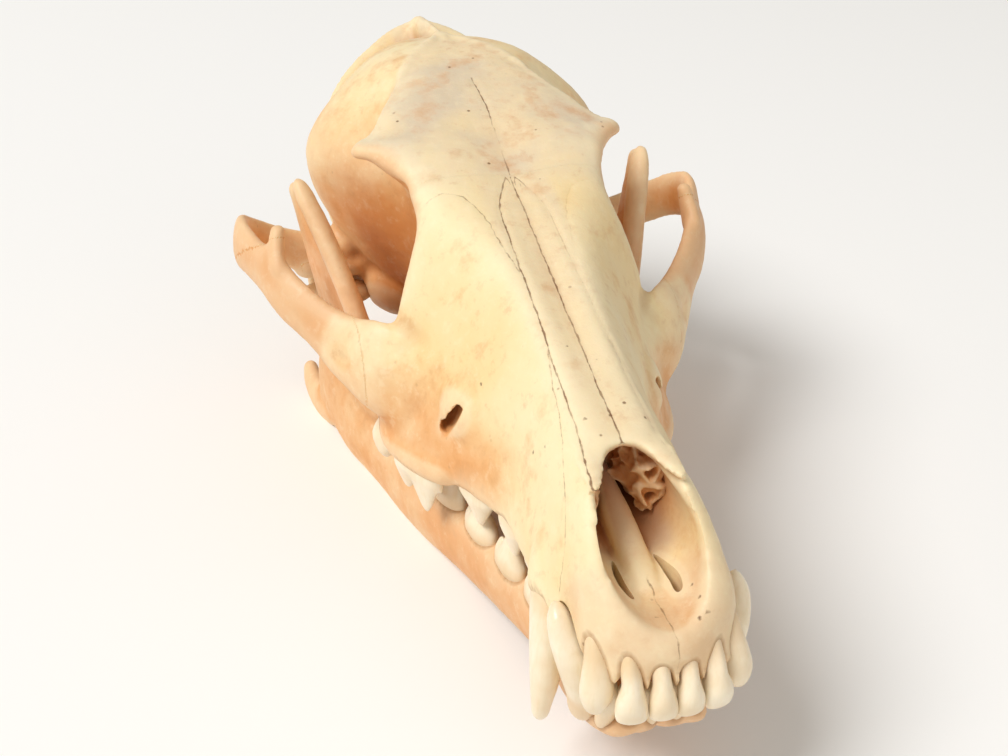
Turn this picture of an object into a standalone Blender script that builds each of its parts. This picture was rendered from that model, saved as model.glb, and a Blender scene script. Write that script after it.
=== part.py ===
"""A coyote's skull with its lower jaw shut, life size, lying as it rests on a table.

It rests on the lower edge of the jaw and on the two angular processes behind it.
Sizes are in millimetres in the skull's own space, and laid turns them into metres at rest.
Skull space: the gum line of the upper teeth is z = 0, the front of the snout is y = 0,
y grows towards the back of the head, and x grows towards the skull's left side.
"""

import math

import bmesh
import bpy
import numpy as np
from mathutils import Matrix, Vector

MM = 0.001
GAP = 0.3  # between pieces that meet
BONE_COLOUR = (0.62, 0.50, 0.33)
BONE_ROUGHNESS = 0.6
CLEAR = 0.6  # round a part of the other jaw that works in a hollow

# Driving sizes of the skull
ARCH_HALF_WIDTH = 53.5  # cheek arches, to their outer faces
BRAIN_HALF_WIDTH = 35.0
JAW_GUM_Z = -11.5  # gum line of the lower teeth with the mouth shut
CONDYLE = (31.5, 150.0, 5.5)  # the middle of the jaw's hinge roller
CONDYLE_RADII = (10.0, 4.0, 3.8)

# The table touches the jaw here, y and z, under the cheek teeth and under the angular process
REST_FRONT = (86.0, -28.3)
REST_BACK = (145.0, -22.6)
MIDDLE_Y = 97.3  # what comes to lie over the origin

# The plane between face and braincase runs behind the nasal bones and the last teeth: y, z
SUTURE_TOP = (96.5, 49.0)
SUTURE_BOTTOM = (107.0, -2.0)
JUGAL_FRONT_X = 33.5
# The seam between the jugal and the arch's rear half: y, z
JUGAL_SEAM_TOP = (119.0, 31.5)
JUGAL_SEAM_BOTTOM = (143.0, 17.5)
JUGAL_END_Y = 146.0

# How fine the shapes are
VOXEL = 1.1
RAW_TRIANGLES = 15000
CRANIUM_TRIANGLES = 6000
JAW_TRIANGLES = 800

# Along the snout and forehead:
# y, top z, shoulder x, shoulder z, cheek x, cheek z, gum x, gum z, floor z
SNOUT_RINGS = (
    (-1.0, 6.2, 4.5, 5.6, 6.8, 3.4, 6.4, -0.6, -0.6),
    (3.0, 8.8, 7.7, 8.3, 10.3, 4.6, 10.0, -0.9, 0.0),
    (9.0, 13.2, 9.8, 12.3, 12.6, 7.0, 12.0, -0.6, 1.5),
    (18.0, 22.0, 8.7, 20.2, 12.9, 11.0, 14.4, 0.4, 2.5),
    (27.0, 25.6, 7.2, 24.0, 12.6, 13.0, 14.4, 0.3, 3.0),
    (42.0, 30.2, 7.0, 28.8, 13.0, 16.0, 14.4, 0.2, 3.5),
    (60.0, 36.0, 8.0, 34.8, 16.6, 19.5, 19.0, -0.6, 4.0),
    (76.0, 41.2, 11.0, 40.2, 21.0, 24.0, 26.4, -2.0, 4.0),
    (88.0, 45.6, 15.5, 44.8, 24.6, 29.0, 29.4, -3.0, 3.5),
    (96.0, 49.0, 18.6, 47.8, 18.5, 32.0, 27.4, -2.0, 3.5),
    (104.0, 52.3, 22.0, 51.3, 15.5, 36.0, 20.0, 0.5, 4.5),
    (113.5, 55.4, 26.3, 52.3, 15.0, 39.0, 10.0, 10.0, 7.0),
    (120.0, 57.6, 22.6, 55.0, 16.0, 41.0, 10.0, 11.0, 8.0),
    (127.0, 59.6, 18.8, 57.2, 16.5, 43.0, 9.0, 12.0, 9.0),
    (136.0, 61.9, 14.2, 59.9, 14.0, 45.0, 8.0, 14.0, 12.0),
    (148.0, 63.7, 7.5, 62.4, 9.0, 50.0, 6.0, 30.0, 28.0),
)
# The same columns along the braincase
BRAIN_RINGS = (
    (103.0, 50.0, 8.0, 49.0, 11.0, 38.0, 7.0, 17.0, 15.0),
    (113.0, 54.5, 12.0, 52.0, 14.5, 40.0, 9.0, 12.0, 9.0),
    (122.0, 57.5, 14.0, 54.0, 18.0, 42.0, 11.0, 12.0, 8.5),
    (131.0, 60.3, 14.5, 57.0, 24.5, 40.0, 14.0, 12.5, 8.5),
    (140.0, 62.8, 16.0, 60.0, 30.5, 41.0, 19.0, 12.5, 8.5),
    (150.0, 64.2, 18.5, 60.6, BRAIN_HALF_WIDTH, 41.0, 22.0, 13.0, 9.0),
    (162.0, 63.4, 18.0, 59.0, 34.0, 38.0, 23.0, 13.5, 10.0),
    (174.0, 60.5, 15.0, 56.0, 28.5, 36.0, 18.0, 15.0, 11.0),
    (184.0, 54.0, 10.0, 50.0, 17.0, 34.0, 11.0, 18.0, 13.0),
    (188.0, 47.0, 6.0, 43.0, 9.0, 33.0, 6.0, 22.0, 18.0),
)

# Bands below: one edge x, y, z, then the other edge x, y, z, then half the thickness
ARCH = (
    (11.5, 66.0, 21.0, 13.5, 64.0, 6.0, 3.2),
    (20.0, 78.0, 23.0, 22.8, 76.0, 4.0, 4.0),
    (28.0, 87.0, 24.5, 30.5, 85.0, 4.5, 4.4),
    (33.0, 95.0, 22.8, 37.0, 94.0, 8.8, 3.2),
    (38.6, 102.0, 24.5, 42.0, 102.0, 14.0, 2.4),
    (43.5, 109.0, 28.3, 47.3, 109.0, 18.3, 2.2),
    (46.5, 115.0, 32.0, 50.0, 116.0, 21.5, 2.1),
    (49.3, 122.0, 33.2, 52.0, 124.0, 22.3, 2.0),
    (ARCH_HALF_WIDTH - 1.5, 130.0, 34.0, ARCH_HALF_WIDTH, 132.0, 21.8, 1.9),
    (51.5, 137.0, 32.8, 52.2, 139.0, 20.3, 1.9),
    (48.3, 144.0, 29.0, 48.3, 145.0, 17.0, 2.2),
    (42.0, 148.5, 24.5, 42.0, 149.0, 14.0, 3.4),
    (34.0, 151.0, 21.5, 34.0, 151.0, 12.0, 5.0),
    (24.0, 152.5, 24.0, 24.0, 152.5, 12.0, 7.0),
)
# The crest round the back of the head, from the middle outwards and down
NUCHAL = (
    (0.0, 191.0, 62.8, 0.0, 180.0, 50.0, 2.0),
    (7.0, 190.0, 60.8, 5.0, 179.0, 49.0, 1.8),
    (13.6, 186.5, 57.4, 9.0, 177.0, 47.0, 1.8),
    (20.5, 182.0, 53.0, 13.0, 173.0, 43.0, 1.8),
    (26.5, 176.5, 46.5, 16.0, 169.0, 38.0, 1.9),
    (30.0, 170.0, 36.0, 17.0, 165.0, 32.0, 2.2),
    (30.5, 165.5, 25.0, 17.0, 161.0, 25.0, 2.8),
    (28.5, 163.0, 15.0, 17.0, 159.0, 17.0, 3.2),
)
# The jaw's body: gum edge, lower edge
JAW_BODY = (
    (3.6, 3.0, -11.8, 3.4, 4.6, -15.4, 3.2),
    (5.4, 8.0, -12.0, 4.8, 12.0, -20.0, 4.3),
    (7.2, 17.0, -12.2, 6.2, 20.5, -23.6, 4.3),
    (8.8, 28.0, -12.0, 7.4, 30.0, -24.4, 3.8),
    (10.8, 42.0, -11.5, 9.2, 43.0, -25.4, 3.6),
    (14.3, 58.0, -11.5, 12.6, 58.0, -26.8, 3.6),
    (18.6, 76.0, -11.5, 16.8, 75.0, -28.2, 3.9),
    (23.4, 94.0, -11.0, 22.0, 92.0, -28.6, 4.1),
    (27.5, 110.0, -8.0, 27.2, 110.0, -27.0, 3.8),
    (31.5, 122.0, -4.0, 32.0, 122.0, -25.0, 3.3),
    (34.3, 134.0, 0.0, 35.0, 134.0, -22.8, 2.8),
    (35.0, 144.0, 2.0, 37.0, 144.0, -21.8, 2.5),
)
# The jaw's upright blade: front edge, rear edge
CORONOID = (
    (26.5, 105.0, -11.0, 33.0, 141.0, -10.0, 3.4),
    (29.5, 108.5, 5.0, 34.5, 142.0, 3.0, 2.5),
    (32.5, 113.0, 18.0, 36.5, 138.0, 15.0, 2.1),
    (35.8, 119.5, 28.0, 38.0, 136.0, 26.0, 2.0),
    (38.2, 126.0, 35.5, 39.2, 134.5, 34.5, 1.9),
    (39.8, 129.5, 41.6, 40.0, 134.0, 39.8, 1.8),
)

# Front teeth as sweeps: x, y, z, half width, half depth; and how far each faces outwards
UPPER_FRONT = (
    (((2.2, 4.6, 6.0, 1.4, 1.9), (2.2, 1.4, 0.4, 1.6, 2.4), (2.2, -0.3, -3.0, 2.0, 2.3),
      (2.25, -0.9, -6.0, 2.3, 1.6), (2.2, -0.8, -8.2, 2.0, 0.7)), 4),
    (((6.4, 5.4, 6.0, 1.5, 1.9), (6.6, 2.2, 0.4, 1.8, 2.6), (6.8, 0.4, -3.4, 2.3, 2.6),
      (7.0, -0.3, -6.4, 2.5, 1.8), (7.0, -0.2, -8.6, 2.1, 0.8)), 14),
    (((10.2, 8.4, 7.0, 1.9, 2.2), (10.9, 5.6, 0.6, 2.4, 3.0), (11.7, 3.8, -3.4, 2.8, 3.1),
      (12.4, 3.4, -7.0, 2.5, 2.4), (12.8, 3.8, -10.0, 1.2, 1.2)), 38),
    (((10.6, 29.0, 9.0, 1.8, 2.8), (12.9, 24.4, 3.2, 2.9, 4.2), (14.0, 21.4, -3.5, 3.1, 4.3),
      (15.0, 19.9, -12.0, 2.6, 3.3), (15.8, 19.8, -19.0, 1.7, 2.0), (16.0, 20.4, -22.6, 0.9, 1.0)), 12),
)
LOWER_FRONT = (
    (((2.1, 8.0, -16.0, 1.1, 1.6), (2.1, 4.8, -11.5, 1.3, 1.8), (2.1, 3.9, -8.0, 1.8, 1.7),
      (2.1, 3.9, -4.8, 1.7, 0.9)), 4),
    (((5.2, 9.0, -16.0, 1.2, 1.8), (5.2, 5.6, -11.5, 1.5, 2.0), (5.5, 4.7, -8.0, 2.1, 1.9),
      (5.6, 4.7, -4.6, 1.9, 1.0)), 14),
    (((8.0, 11.0, -17.0, 1.4, 2.0), (8.4, 7.6, -11.8, 1.8, 2.2), (9.0, 6.6, -8.0, 2.3, 2.1),
      (9.4, 6.7, -4.4, 1.8, 1.2)), 32),
    (((9.4, 19.0, -20.0, 2.7, 3.6), (10.6, 13.8, -12.0, 3.2, 4.6), (12.0, 10.9, -4.0, 3.4, 4.2),
      (12.9, 11.6, 2.0, 2.5, 3.0), (13.3, 13.6, 7.2, 0.9, 1.1)), 20),
)

ROOT_LEAN = 2.0  # how far the cheek teeth's roots lean inwards
# Cheek teeth: x, y, length, width, height, turn in degrees, and cusps along, across, height, spread
ONE_POINT = ((-0.1, 0.0, 1.0, 0.5), (0.6, 0.0, 0.45, 0.35))
BLADE_UP = ((-0.3, 0.1, 1.0, 0.38), (0.45, 0.1, 0.72, 0.4), (-0.8, -0.1, 0.35, 0.25))
BLADE_LOW = (
    (-0.62, 0.0, 0.68, 0.32),
    (-0.08, 0.1, 1.0, 0.3),
    (0.55, 0.2, 0.42, 0.3),
    (0.6, -0.4, 0.38, 0.25),
)
GRINDER_UP = ((-0.35, 0.6, 1.0, 0.38), (0.4, 0.6, 0.85, 0.36), (0.0, -0.5, 0.5, 0.5))
GRINDER_LOW = ((-0.4, 0.35, 1.0, 0.4), (-0.4, -0.4, 0.85, 0.4), (0.5, 0.3, 0.7, 0.35))
UPPER_CHEEK = (
    (12.8, 34.3, 6.2, 3.8, 5.0, 2, ONE_POINT),
    (13.4, 46.3, 11.6, 4.8, 7.4, 8, ONE_POINT),
    (16.8, 59.8, 12.8, 5.2, 7.8, 22, ONE_POINT),
    (25.2, 76.0, 19.8, 6.6, 10.5, 20, BLADE_UP),
    (26.4, 90.8, 12.0, 12.8, 5.2, 6, GRINDER_UP),
    (24.8, 99.4, 6.2, 9.5, 3.6, 2, GRINDER_UP),
)
LOWER_CHEEK = (
    (10.2, 28.0, 4.4, 3.6, 4.4, 6, ONE_POINT),
    (10.9, 38.5, 11.0, 4.8, 7.6, 8, ONE_POINT),
    (13.0, 50.2, 12.0, 5.2, 8.4, 12, ONE_POINT),
    (15.6, 63.0, 12.8, 5.4, 8.6, 14, ONE_POINT),
    (19.2, 80.3, 21.6, 6.2, 10.4, 12, BLADE_LOW),
    (23.8, 96.4, 9.6, 6.4, 4.2, 12, GRINDER_LOW),
    (25.6, 103.6, 4.4, 4.2, 2.6, 12, GRINDER_LOW),
)


def through(keys, at):
    """Each column of keys as a smooth curve over the first column, read at a place."""
    table = np.array(keys, float)
    x, value = table[:, 0], table[:, 1:]
    slope = np.diff(value, axis=0) / np.diff(x)[:, None]
    tangent = np.vstack([slope[:1], slope[-1:]])
    before, after = slope[:-1], slope[1:]
    same_way = before * after > 0
    total = np.where(same_way, before + after, 1.0)
    middle = np.where(same_way, 2 * before * after / total, 0.0)
    tangent = np.vstack([tangent[:1], middle, tangent[1:]])
    at = min(max(at, x[0]), x[-1])
    i = min(int(np.searchsorted(x, at, side="right")) - 1, len(x) - 2)
    width = x[i + 1] - x[i]
    s = (at - x[i]) / width
    return (
        (1 + 2 * s) * (1 - s) ** 2 * value[i]
        + s * (1 - s) ** 2 * width * tangent[i]
        + s * s * (3 - 2 * s) * value[i + 1]
        + s * s * (s - 1) * width * tangent[i + 1]
    )


def catmull(points, at):
    """A smooth curve through evenly timed points, at from 0 to 1."""
    p = np.array(points, float)
    place = min(max(at, 0.0), 1.0) * (len(p) - 1)
    i = min(int(place), len(p) - 2)
    s = place - i
    before = p[i - 1] if i else 2 * p[0] - p[1]
    after = p[i + 2] if i + 2 < len(p) else 2 * p[-1] - p[-2]
    return 0.5 * (
        2 * p[i]
        + (p[i + 1] - before) * s
        + (2 * before - 5 * p[i] + 4 * p[i + 1] - after) * s**2
        + (3 * p[i] - before - 3 * p[i + 1] + after) * s**3
    )


def round_end(t, share):
    """How wide a form is at t from 0 to 1 when its ends are rounded over this share."""
    near = min(t, 1 - t) / share
    return 1.0 if near >= 1 else math.sqrt(max(0.0, 1 - (1 - near) ** 2))


def shaped(place, around, along, side=1):
    """A sphere's net of faces with each point put where place(t, angle) says, as a bmesh."""
    bm = bmesh.new()
    bmesh.ops.create_uvsphere(bm, u_segments=around, v_segments=along, radius=1.0)
    for vert in bm.verts:
        t = math.acos(min(1.0, max(-1.0, -vert.co.z))) / math.pi
        x, y, z = place(t, math.atan2(vert.co.y, vert.co.x))
        vert.co = (side * x, y, z)
    if bm.calc_volume(signed=True) < 0:
        bmesh.ops.reverse_faces(bm, faces=bm.faces[:])
    return bm


def ringed(rings, cap, around=40, along=70):
    """A head form from its rings."""

    def place(t, angle):
        y = rings[0][0] + t * (rings[-1][0] - rings[0][0])
        top, sx, sz, cx, cz, gx, gz, floor = through(rings, y)
        half = [(-sx, sz), (0, top), (sx, sz), (cx, cz), (gx, gz), (0, floor), (-gx, gz)]
        share = abs(angle) / math.pi
        at = (1 + share * 4) / 6
        x, z = catmull(half, at)
        k = round_end(t, cap)
        middle = (top + floor) / 2
        return (math.copysign(max(x, 0.0), angle) * k, y, middle + (z - middle) * k)

    return shaped(place, around, along)


def sweep(path, side=1, up=(0, 0, 1), cap=0.1, around=14, along=28):
    """A limb with an oval section along a path of x, y, z, half thickness, half height."""

    def place(t, angle):
        x, y, z, thick, high = catmull(path, t)
        step = 0.01
        ahead, behind = catmull(path, t + step), catmull(path, t - step)
        tangent = Vector((ahead - behind)[:3]).normalized()
        across = Vector(up).cross(tangent).normalized()
        upright = tangent.cross(across)
        k = round_end(t, cap)
        offset = across * (math.cos(angle) * thick * k)
        offset += upright * (math.sin(angle) * high * k)
        return Vector((x, y, z)) + offset

    return shaped(place, around, along, side)


def ball(centre, radii, side=1, turn=(0, 0, 0), around=20, along=12):
    """An oval ball, turned by degrees about x, y and z."""
    spin = Matrix.Rotation(math.radians(turn[2]), 3, "Z")
    spin = spin @ Matrix.Rotation(math.radians(turn[1]), 3, "Y")
    spin = spin @ Matrix.Rotation(math.radians(turn[0]), 3, "X")

    def place(t, angle):
        wide = math.sin(t * math.pi)
        point = (math.cos(angle) * wide, math.sin(angle) * wide, -math.cos(t * math.pi))
        return Vector(centre) + spin @ Vector(p * r for p, r in zip(point, radii))

    return shaped(place, around, along, side)


def both(make, *args, **kwargs):
    """The same form on the left and on the right."""
    return [make(*args, side=side, **kwargs) for side in (1, -1)]


def band(keys, side=1, cap=0.06, around=14, along=48):
    """A flat limb between two edges, each key an edge point, the other one and half a thickness."""

    def place(t, angle):
        key = catmull(keys, t)
        one, other, thick = Vector(key[:3]), Vector(key[3:6]), key[6]
        step = 0.01
        ahead, behind = catmull(keys, t + step), catmull(keys, t - step)
        tangent = Vector((ahead - behind)[:3] + (ahead - behind)[3:6]).normalized()
        half = (one - other) / 2
        across = half.cross(tangent).normalized() * thick
        k = round_end(t, cap)
        return (one + other) / 2 + half * (math.sin(angle) * k) + across * (math.cos(angle) * k)

    return shaped(place, around, along, side)


def cusp_height(u, v, along, across, height, spread):
    """How high one cusp stands at a place on the tooth."""
    return height * math.exp(-((u - along) ** 2 + 0.6 * (v - across) ** 2) / spread**2)


def crown(spec, gum, down, side=1, around=10, along=6):
    """A cheek tooth, its root in the bone and its cusps away from it."""
    x, y, length, width, height, turn, cusps = spec
    spin = Matrix.Rotation(math.radians(-turn), 2)
    root = min(length, 5.0)

    def place(t, angle):
        if t < 0.5:
            deep = 1 - 2 * t
            r = 0.88 * math.sqrt(1 - deep**3)
            z = -root * deep
        else:
            r = 2 * (1 - t)
            u, v = math.cos(angle) * r, math.sin(angle) * r
            rise = max(cusp_height(u, v, *cusp) for cusp in cusps)
            z = height * (0.25 + 0.75 * rise) * math.sqrt(1 - r**4)
            r *= 0.88 + 0.12 * min(1.0, (1 - r) / 0.15)
        along_row = math.cos(angle) * r * length / 2
        across = math.sin(angle) * r * width / 2
        offset = spin @ Vector((across, along_row))
        lean = ROOT_LEAN * max(0.0, 1 - 2 * t)
        return (x + offset.x - lean, y + offset.y, gum - z if down else gum + z)

    return shaped(place, around, along, side)


def front_tooth(path, facing, side=1, grow=0.0, around=8, along=8):
    """An incisor or a canine, turned outwards by some degrees."""
    up = (-math.sin(math.radians(facing)), math.cos(math.radians(facing)), 0)
    grown = [(x, y, z, w + grow, d + grow) for x, y, z, w, d in path]
    return sweep(grown, side, up, cap=0.14, around=around, along=along)


def upper_teeth(side):
    teeth = [front_tooth(path, facing, side) for path, facing in UPPER_FRONT]
    for spec in UPPER_CHEEK:
        gum = through(SNOUT_RINGS, spec[1])[6] + 0.6
        teeth.append(crown(spec, gum, True, side))
    inner = ((18.0, 68.0, 3.0, 2.2, 3.0), (18.6, 68.0, -1.5, 2.0, 2.4), (18.8, 68.0, -3.5, 0.8, 1.0))
    teeth.append(sweep(inner, side, (0, 1, 0), around=8, along=6))
    return teeth


def lower_teeth(side):
    teeth = [front_tooth(path, facing, side) for path, facing in LOWER_FRONT]
    teeth += [crown(spec, JAW_GUM_Z - 0.6, False, side) for spec in LOWER_CHEEK]
    return teeth


def brain_parts():
    """The braincase with its crests, its base, the ear bullae and the neck joint."""
    parts = [ringed(BRAIN_RINGS, 0.12)]
    crest = ((0, 146, 61, 1.0, 2.6), (0, 158, 62.0, 1.0, 3.0), (0, 175, 61.0, 1.2, 4.0))
    crest += ((0, 188, 60.3, 1.8, 3.6), (0, 192.4, 60.5, 1.6, 2.4))
    parts.append(sweep(crest))
    parts.append(ball((0, 176, 37), (23, 11, 22)))
    parts += both(band, NUCHAL)
    parts += both(ball, (15.5, 150, 8.5), (9, 12.5, 9.5), turn=(0, 0, -12))
    parts += both(ball, (9.5, 183.5, 17.5), (5.8, 6.5, 7.5), turn=(0, 20, -20))
    jugular = ((20, 169, 17, 4, 4), (22.5, 174, 8, 2.4, 3), (22.5, 176, 0, 1.3, 1.6))
    parts += both(sweep, jugular, up=(0, 1, 0))
    glenoid = ((18, 154, 15, 7, 4), (28, 152.5, 13.5, 7, 4), (41, 150.5, 15, 6, 4))
    parts += both(sweep, glenoid, up=(0, 0, 1))
    behind_joint = ((22, 157.5, 10, 2.2, 4), (29, 157.0, 7.5, 2.2, 5.0), (37, 155.8, 10, 2, 4))
    parts += both(sweep, behind_joint)
    wing = ((8.5, 100, 6, 1.6, 6), (8.5, 110, 5, 1.5, 6.5), (8.5, 120, 5.5, 1.5, 6))
    parts += both(sweep, wing)
    hook = ((8.7, 118, 2, 1.7, 2.5), (9, 122, -1.5, 1.5, 1.8), (9.2, 125.5, -3.5, 1.2, 1.2))
    parts += both(sweep, hook)
    brow = ((14, 111, 51.2, 8, 3.2), (21, 112, 51.3, 6, 2.7), (25.5, 113.4, 51.4, 3.6, 1.9))
    brow += ((28.8, 115.0, 50.8, 1.4, 1.2),)
    parts += both(sweep, brow)
    return parts


def snout_parts():
    """The snout and forehead, with the bone swelling over the big teeth's roots."""
    parts = [ringed(SNOUT_RINGS, 0.05, along=110)]
    root = ((9.5, 34, 13, 1.6, 3), (11.4, 29.5, 10, 2.3, 3.8), (13.2, 24.5, 4.5, 3.1, 4.8))
    root += ((14.2, 22.5, 0.5, 2.8, 4.6),)
    parts += both(sweep, root, up=(0, 1, 0))
    row = ((19.5, 64, 0.9, 3.5, 3), (24.0, 74, -0.2, 4.0, 3.5), (26.0, 86, -0.8, 5, 4))
    row += ((24.5, 99, 0.3, 5, 4),)
    parts += both(sweep, row)
    parts += both(ball, (15.6, 68, 13.5), (6.4, 11, 8))
    return parts


def arch_parts():
    """The cheek arches with their upright point behind the eye."""
    point = ((46.8, 112.5, 26, 1.9, 4.5), (46.2, 115.5, 32, 1.8, 2.8), (45.2, 116.6, 35.6, 1.5, 1.6))
    return both(band, ARCH, cap=0.05, along=64) + both(sweep, point, up=(0, 1, 0))


def openings():
    """What is hollow: nose, eye sockets, canals, ear holes, palate slits and the neck's hole."""
    cavity = ((0, -6, 17.0, 8.6, 11.0), (0, 7, 16.4, 8.8, 10.4), (0, 20, 14.7, 8.8, 8.6))
    cavity += ((0, 34, 16.6, 8.6, 8.6), (0, 48, 19.4, 8.4, 9.0), (0, 62, 22.5, 8.2, 9.0))
    parts = [sweep(cavity, cap=0.08, around=24), ball((0, 11.5, 22.5), (8.4, 15.5, 10.5))]
    parts += both(ball, (31, 104, 37), (13, 14.5, 15.2))
    canal = ((18.6, 52, 15.5, 1.6, 2.8), (20.0, 61, 14.5, 1.6, 3.2), (19.2, 71, 14.4, 1.8, 2.8))
    canal += ((19.8, 84, 15.5, 2.2, 3.0), (21.0, 99, 17, 2.8, 3.4))
    parts += both(sweep, canal, cap=0.05)
    slit = ((3.6, 8.6, 5, 1.0, 6), (3.9, 15, 5, 1.5, 6), (4.0, 22, 5, 1.0, 6))
    parts += both(sweep, slit, cap=0.3)
    parts += both(ball, (24.5, 156.5, 12.5), (9, 3.4, 3.2), turn=(0, 0, -20))
    neck = ((0, 166, 26, 6, 6), (0, 178, 24, 8, 6.5), (0, 196, 21, 8.6, 6.8))
    parts.append(sweep(neck, cap=0.1))
    parts.append(ball((0, 108, 4.5), (6.6, 18, 5.5)))
    grown = [r + CLEAR for r in CONDYLE_RADII]
    parts += both(ball, CONDYLE, grown, around=24)
    return parts


def inner_nose():
    """The scrolls of thin bone inside the nose, the ridge along its floor and the nasal tips."""
    parts = both(sweep, ((7.8, 31, 21, 1.8, 1.1), (7.6, 44, 22, 2.8, 1.4), (8, 60, 25, 3, 2)))
    parts += both(sweep, ((8.4, 27, 14.5, 3.5, 1.2), (8.0, 40, 15.5, 4.2, 1.6), (8, 60, 19, 4.2, 2)))
    ridge = ((0, 9, 4.6, 1.9, 1.6), (0, 17, 6.9, 1.8, 2.2), (0, 25, 9.6, 1.5, 3.0))
    ridge += ((0, 42, 11.5, 1.2, 5.5), (0, 62, 15, 1.2, 9))
    parts.append(sweep(ridge))
    tip = ((3.6, 32, 25.3, 2.8, 0.9), (5.9, 24.5, 23.7, 2.3, 0.8), (7.4, 17.6, 22.2, 0.8, 0.5))
    return parts + both(sweep, tip)


def jaw_parts():
    """The lower jaw's left half."""
    parts = [band(JAW_BODY, along=60), band(CORONOID)]
    parts.append(ball((2.6, 16, -18.4), (4.6, 14, 4.2), turn=(-27, 0, 0)))
    rod = ((26, 104.5, -10, 3.2, 3.2), (29.2, 107.8, 5, 3.2, 3.2), (32.4, 112.4, 18, 3.2, 3.2))
    rod += ((36.2, 120, 30.8, 3.1, 3.1), (40.2, 129.4, 42.6, 2.8, 2.8))
    parts.append(sweep(rod, up=(0, 1, 0)))
    parts.append(ball(CONDYLE, CONDYLE_RADII, around=24))
    neck = ((34.5, 138, -4, 2.6, 8), (33.5, 144.5, 0.5, 3.6, 5), (32, 149, 3.5, 5.5, 3))
    parts.append(sweep(neck))
    angle = ((34.5, 134, -18.6, 2.8, 4.8), (37, 143, -19.6, 2.6, 4.4), (38.4, 150, -17.6, 2.4, 3.4))
    angle += ((38.8, 155.5, -14.4, 1.6, 1.8),)
    parts.append(sweep(angle))
    return parts


def jaw_hollows():
    """The chewing muscle's shallow bed on the outer side, and what lies past the chin's seam."""
    return [ball((47.0, 127, 3), (10.5, 13.5, 19)), half_space((GAP / 2, 0, 0), (1, 0, 0))]


def joined(name, parts):
    """Closed forms as one mesh object, still passing through each other."""
    whole = bmesh.new()
    mesh = bpy.data.meshes.new(name)
    for part in parts:
        part.to_mesh(mesh)
        part.free()
        whole.from_mesh(mesh)
    whole.to_mesh(mesh)
    whole.free()
    obj = bpy.data.objects.new(name, mesh)
    bpy.context.scene.collection.objects.link(obj)
    return obj


def baked(obj):
    """The object with its modifiers applied."""
    bpy.context.view_layer.update()
    graph = bpy.context.evaluated_depsgraph_get()
    mesh = bpy.data.meshes.new_from_object(obj.evaluated_get(graph))
    old = obj.data
    obj.modifiers.clear()
    obj.data = mesh
    bpy.data.meshes.remove(old)
    return obj


def fused(obj, voxel, smooth):
    """The object as one skin with soft joins."""
    remesh = obj.modifiers.new("skin", "REMESH")
    remesh.mode = "VOXEL"
    remesh.voxel_size = voxel
    if smooth:
        soften = obj.modifiers.new("soften", "SMOOTH")
        soften.factor = 0.5
        soften.iterations = smooth
    return baked(obj)


def cut(obj, parts, operation="DIFFERENCE"):
    """The object less the forms, each a closed bmesh."""
    tool = joined("tool", parts)
    boolean = obj.modifiers.new("cut", "BOOLEAN")
    boolean.operation = operation
    boolean.object = tool
    boolean.solver = "EXACT"
    boolean.use_self = True
    baked(obj)
    bpy.data.objects.remove(tool)
    return obj


def thinned(obj, triangles):
    """The object with about this many triangles."""
    count = sum(len(p.vertices) - 2 for p in obj.data.polygons)
    decimate = obj.modifiers.new("thin", "DECIMATE")
    decimate.ratio = triangles / count
    decimate.use_collapse_triangulate = True
    return baked(obj)


def half_space(point, away):
    """A large block whose one face passes through the point and looks away from the block."""
    bm = bmesh.new()
    bmesh.ops.create_cube(bm, size=400.0)
    turn = Vector((0, 0, 1)).rotation_difference(Vector(away)).to_matrix()
    for vert in bm.verts:
        vert.co = Vector(point) + turn @ (vert.co - Vector((0, 0, 200.0)))
    return bm


def slant(one, other):
    """A point on the plane through two y, z points, and its normal, which looks up or back."""
    normal = Vector((0, one[1] - other[1], other[0] - one[0])).normalized()
    return Vector((0, *one)), normal if normal.y + normal.z > 0 else -normal


def combined(obj, tool, operation):
    """The object cut by, or kept within, another object, which is then removed."""
    boolean = obj.modifiers.new("cut", "BOOLEAN")
    boolean.operation = operation
    boolean.object = tool
    boolean.solver = "EXACT"
    baked(obj)
    bpy.data.objects.remove(tool)
    return obj


def copied(obj, name):
    """A copy of the object with a mesh of its own."""
    twin = bpy.data.objects.new(name, obj.data.copy())
    bpy.context.scene.collection.objects.link(twin)
    return twin


def whole(obj):
    """The object with only its largest closed surface."""
    bm = bmesh.new()
    bm.from_mesh(obj.data)
    left = set(bm.faces)
    pieces = []
    while left:
        piece, edge_of = set(), [left.pop()]
        while edge_of:
            face = edge_of.pop()
            piece.add(face)
            for edge in face.edges:
                for other in edge.link_faces:
                    if other in left:
                        left.discard(other)
                        edge_of.append(other)
        pieces.append(piece)
    keep = max(pieces, key=len)
    drop = [face for face in bm.faces if face not in keep]
    bmesh.ops.delete(bm, geom=drop, context="FACES")
    bmesh.ops.triangulate(bm, faces=bm.faces[:])
    bm.to_mesh(obj.data)
    bm.free()
    return obj


def with_teeth(obj, teeth):
    """The bone with its teeth grown on, by one union."""
    grown = bpy.data.collections.new("teeth")
    for i, tooth in enumerate(teeth):
        piece = joined(f"tooth_{i}", [tooth])
        grown.objects.link(piece)
    union = obj.modifiers.new("teeth", "BOOLEAN")
    union.operation = "UNION"
    union.operand_type = "COLLECTION"
    union.collection = grown
    union.solver = "EXACT"
    union.use_self = True
    baked(obj)
    for piece in list(grown.objects):
        bpy.data.objects.remove(piece)
    bpy.data.collections.remove(grown)
    return obj


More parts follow.
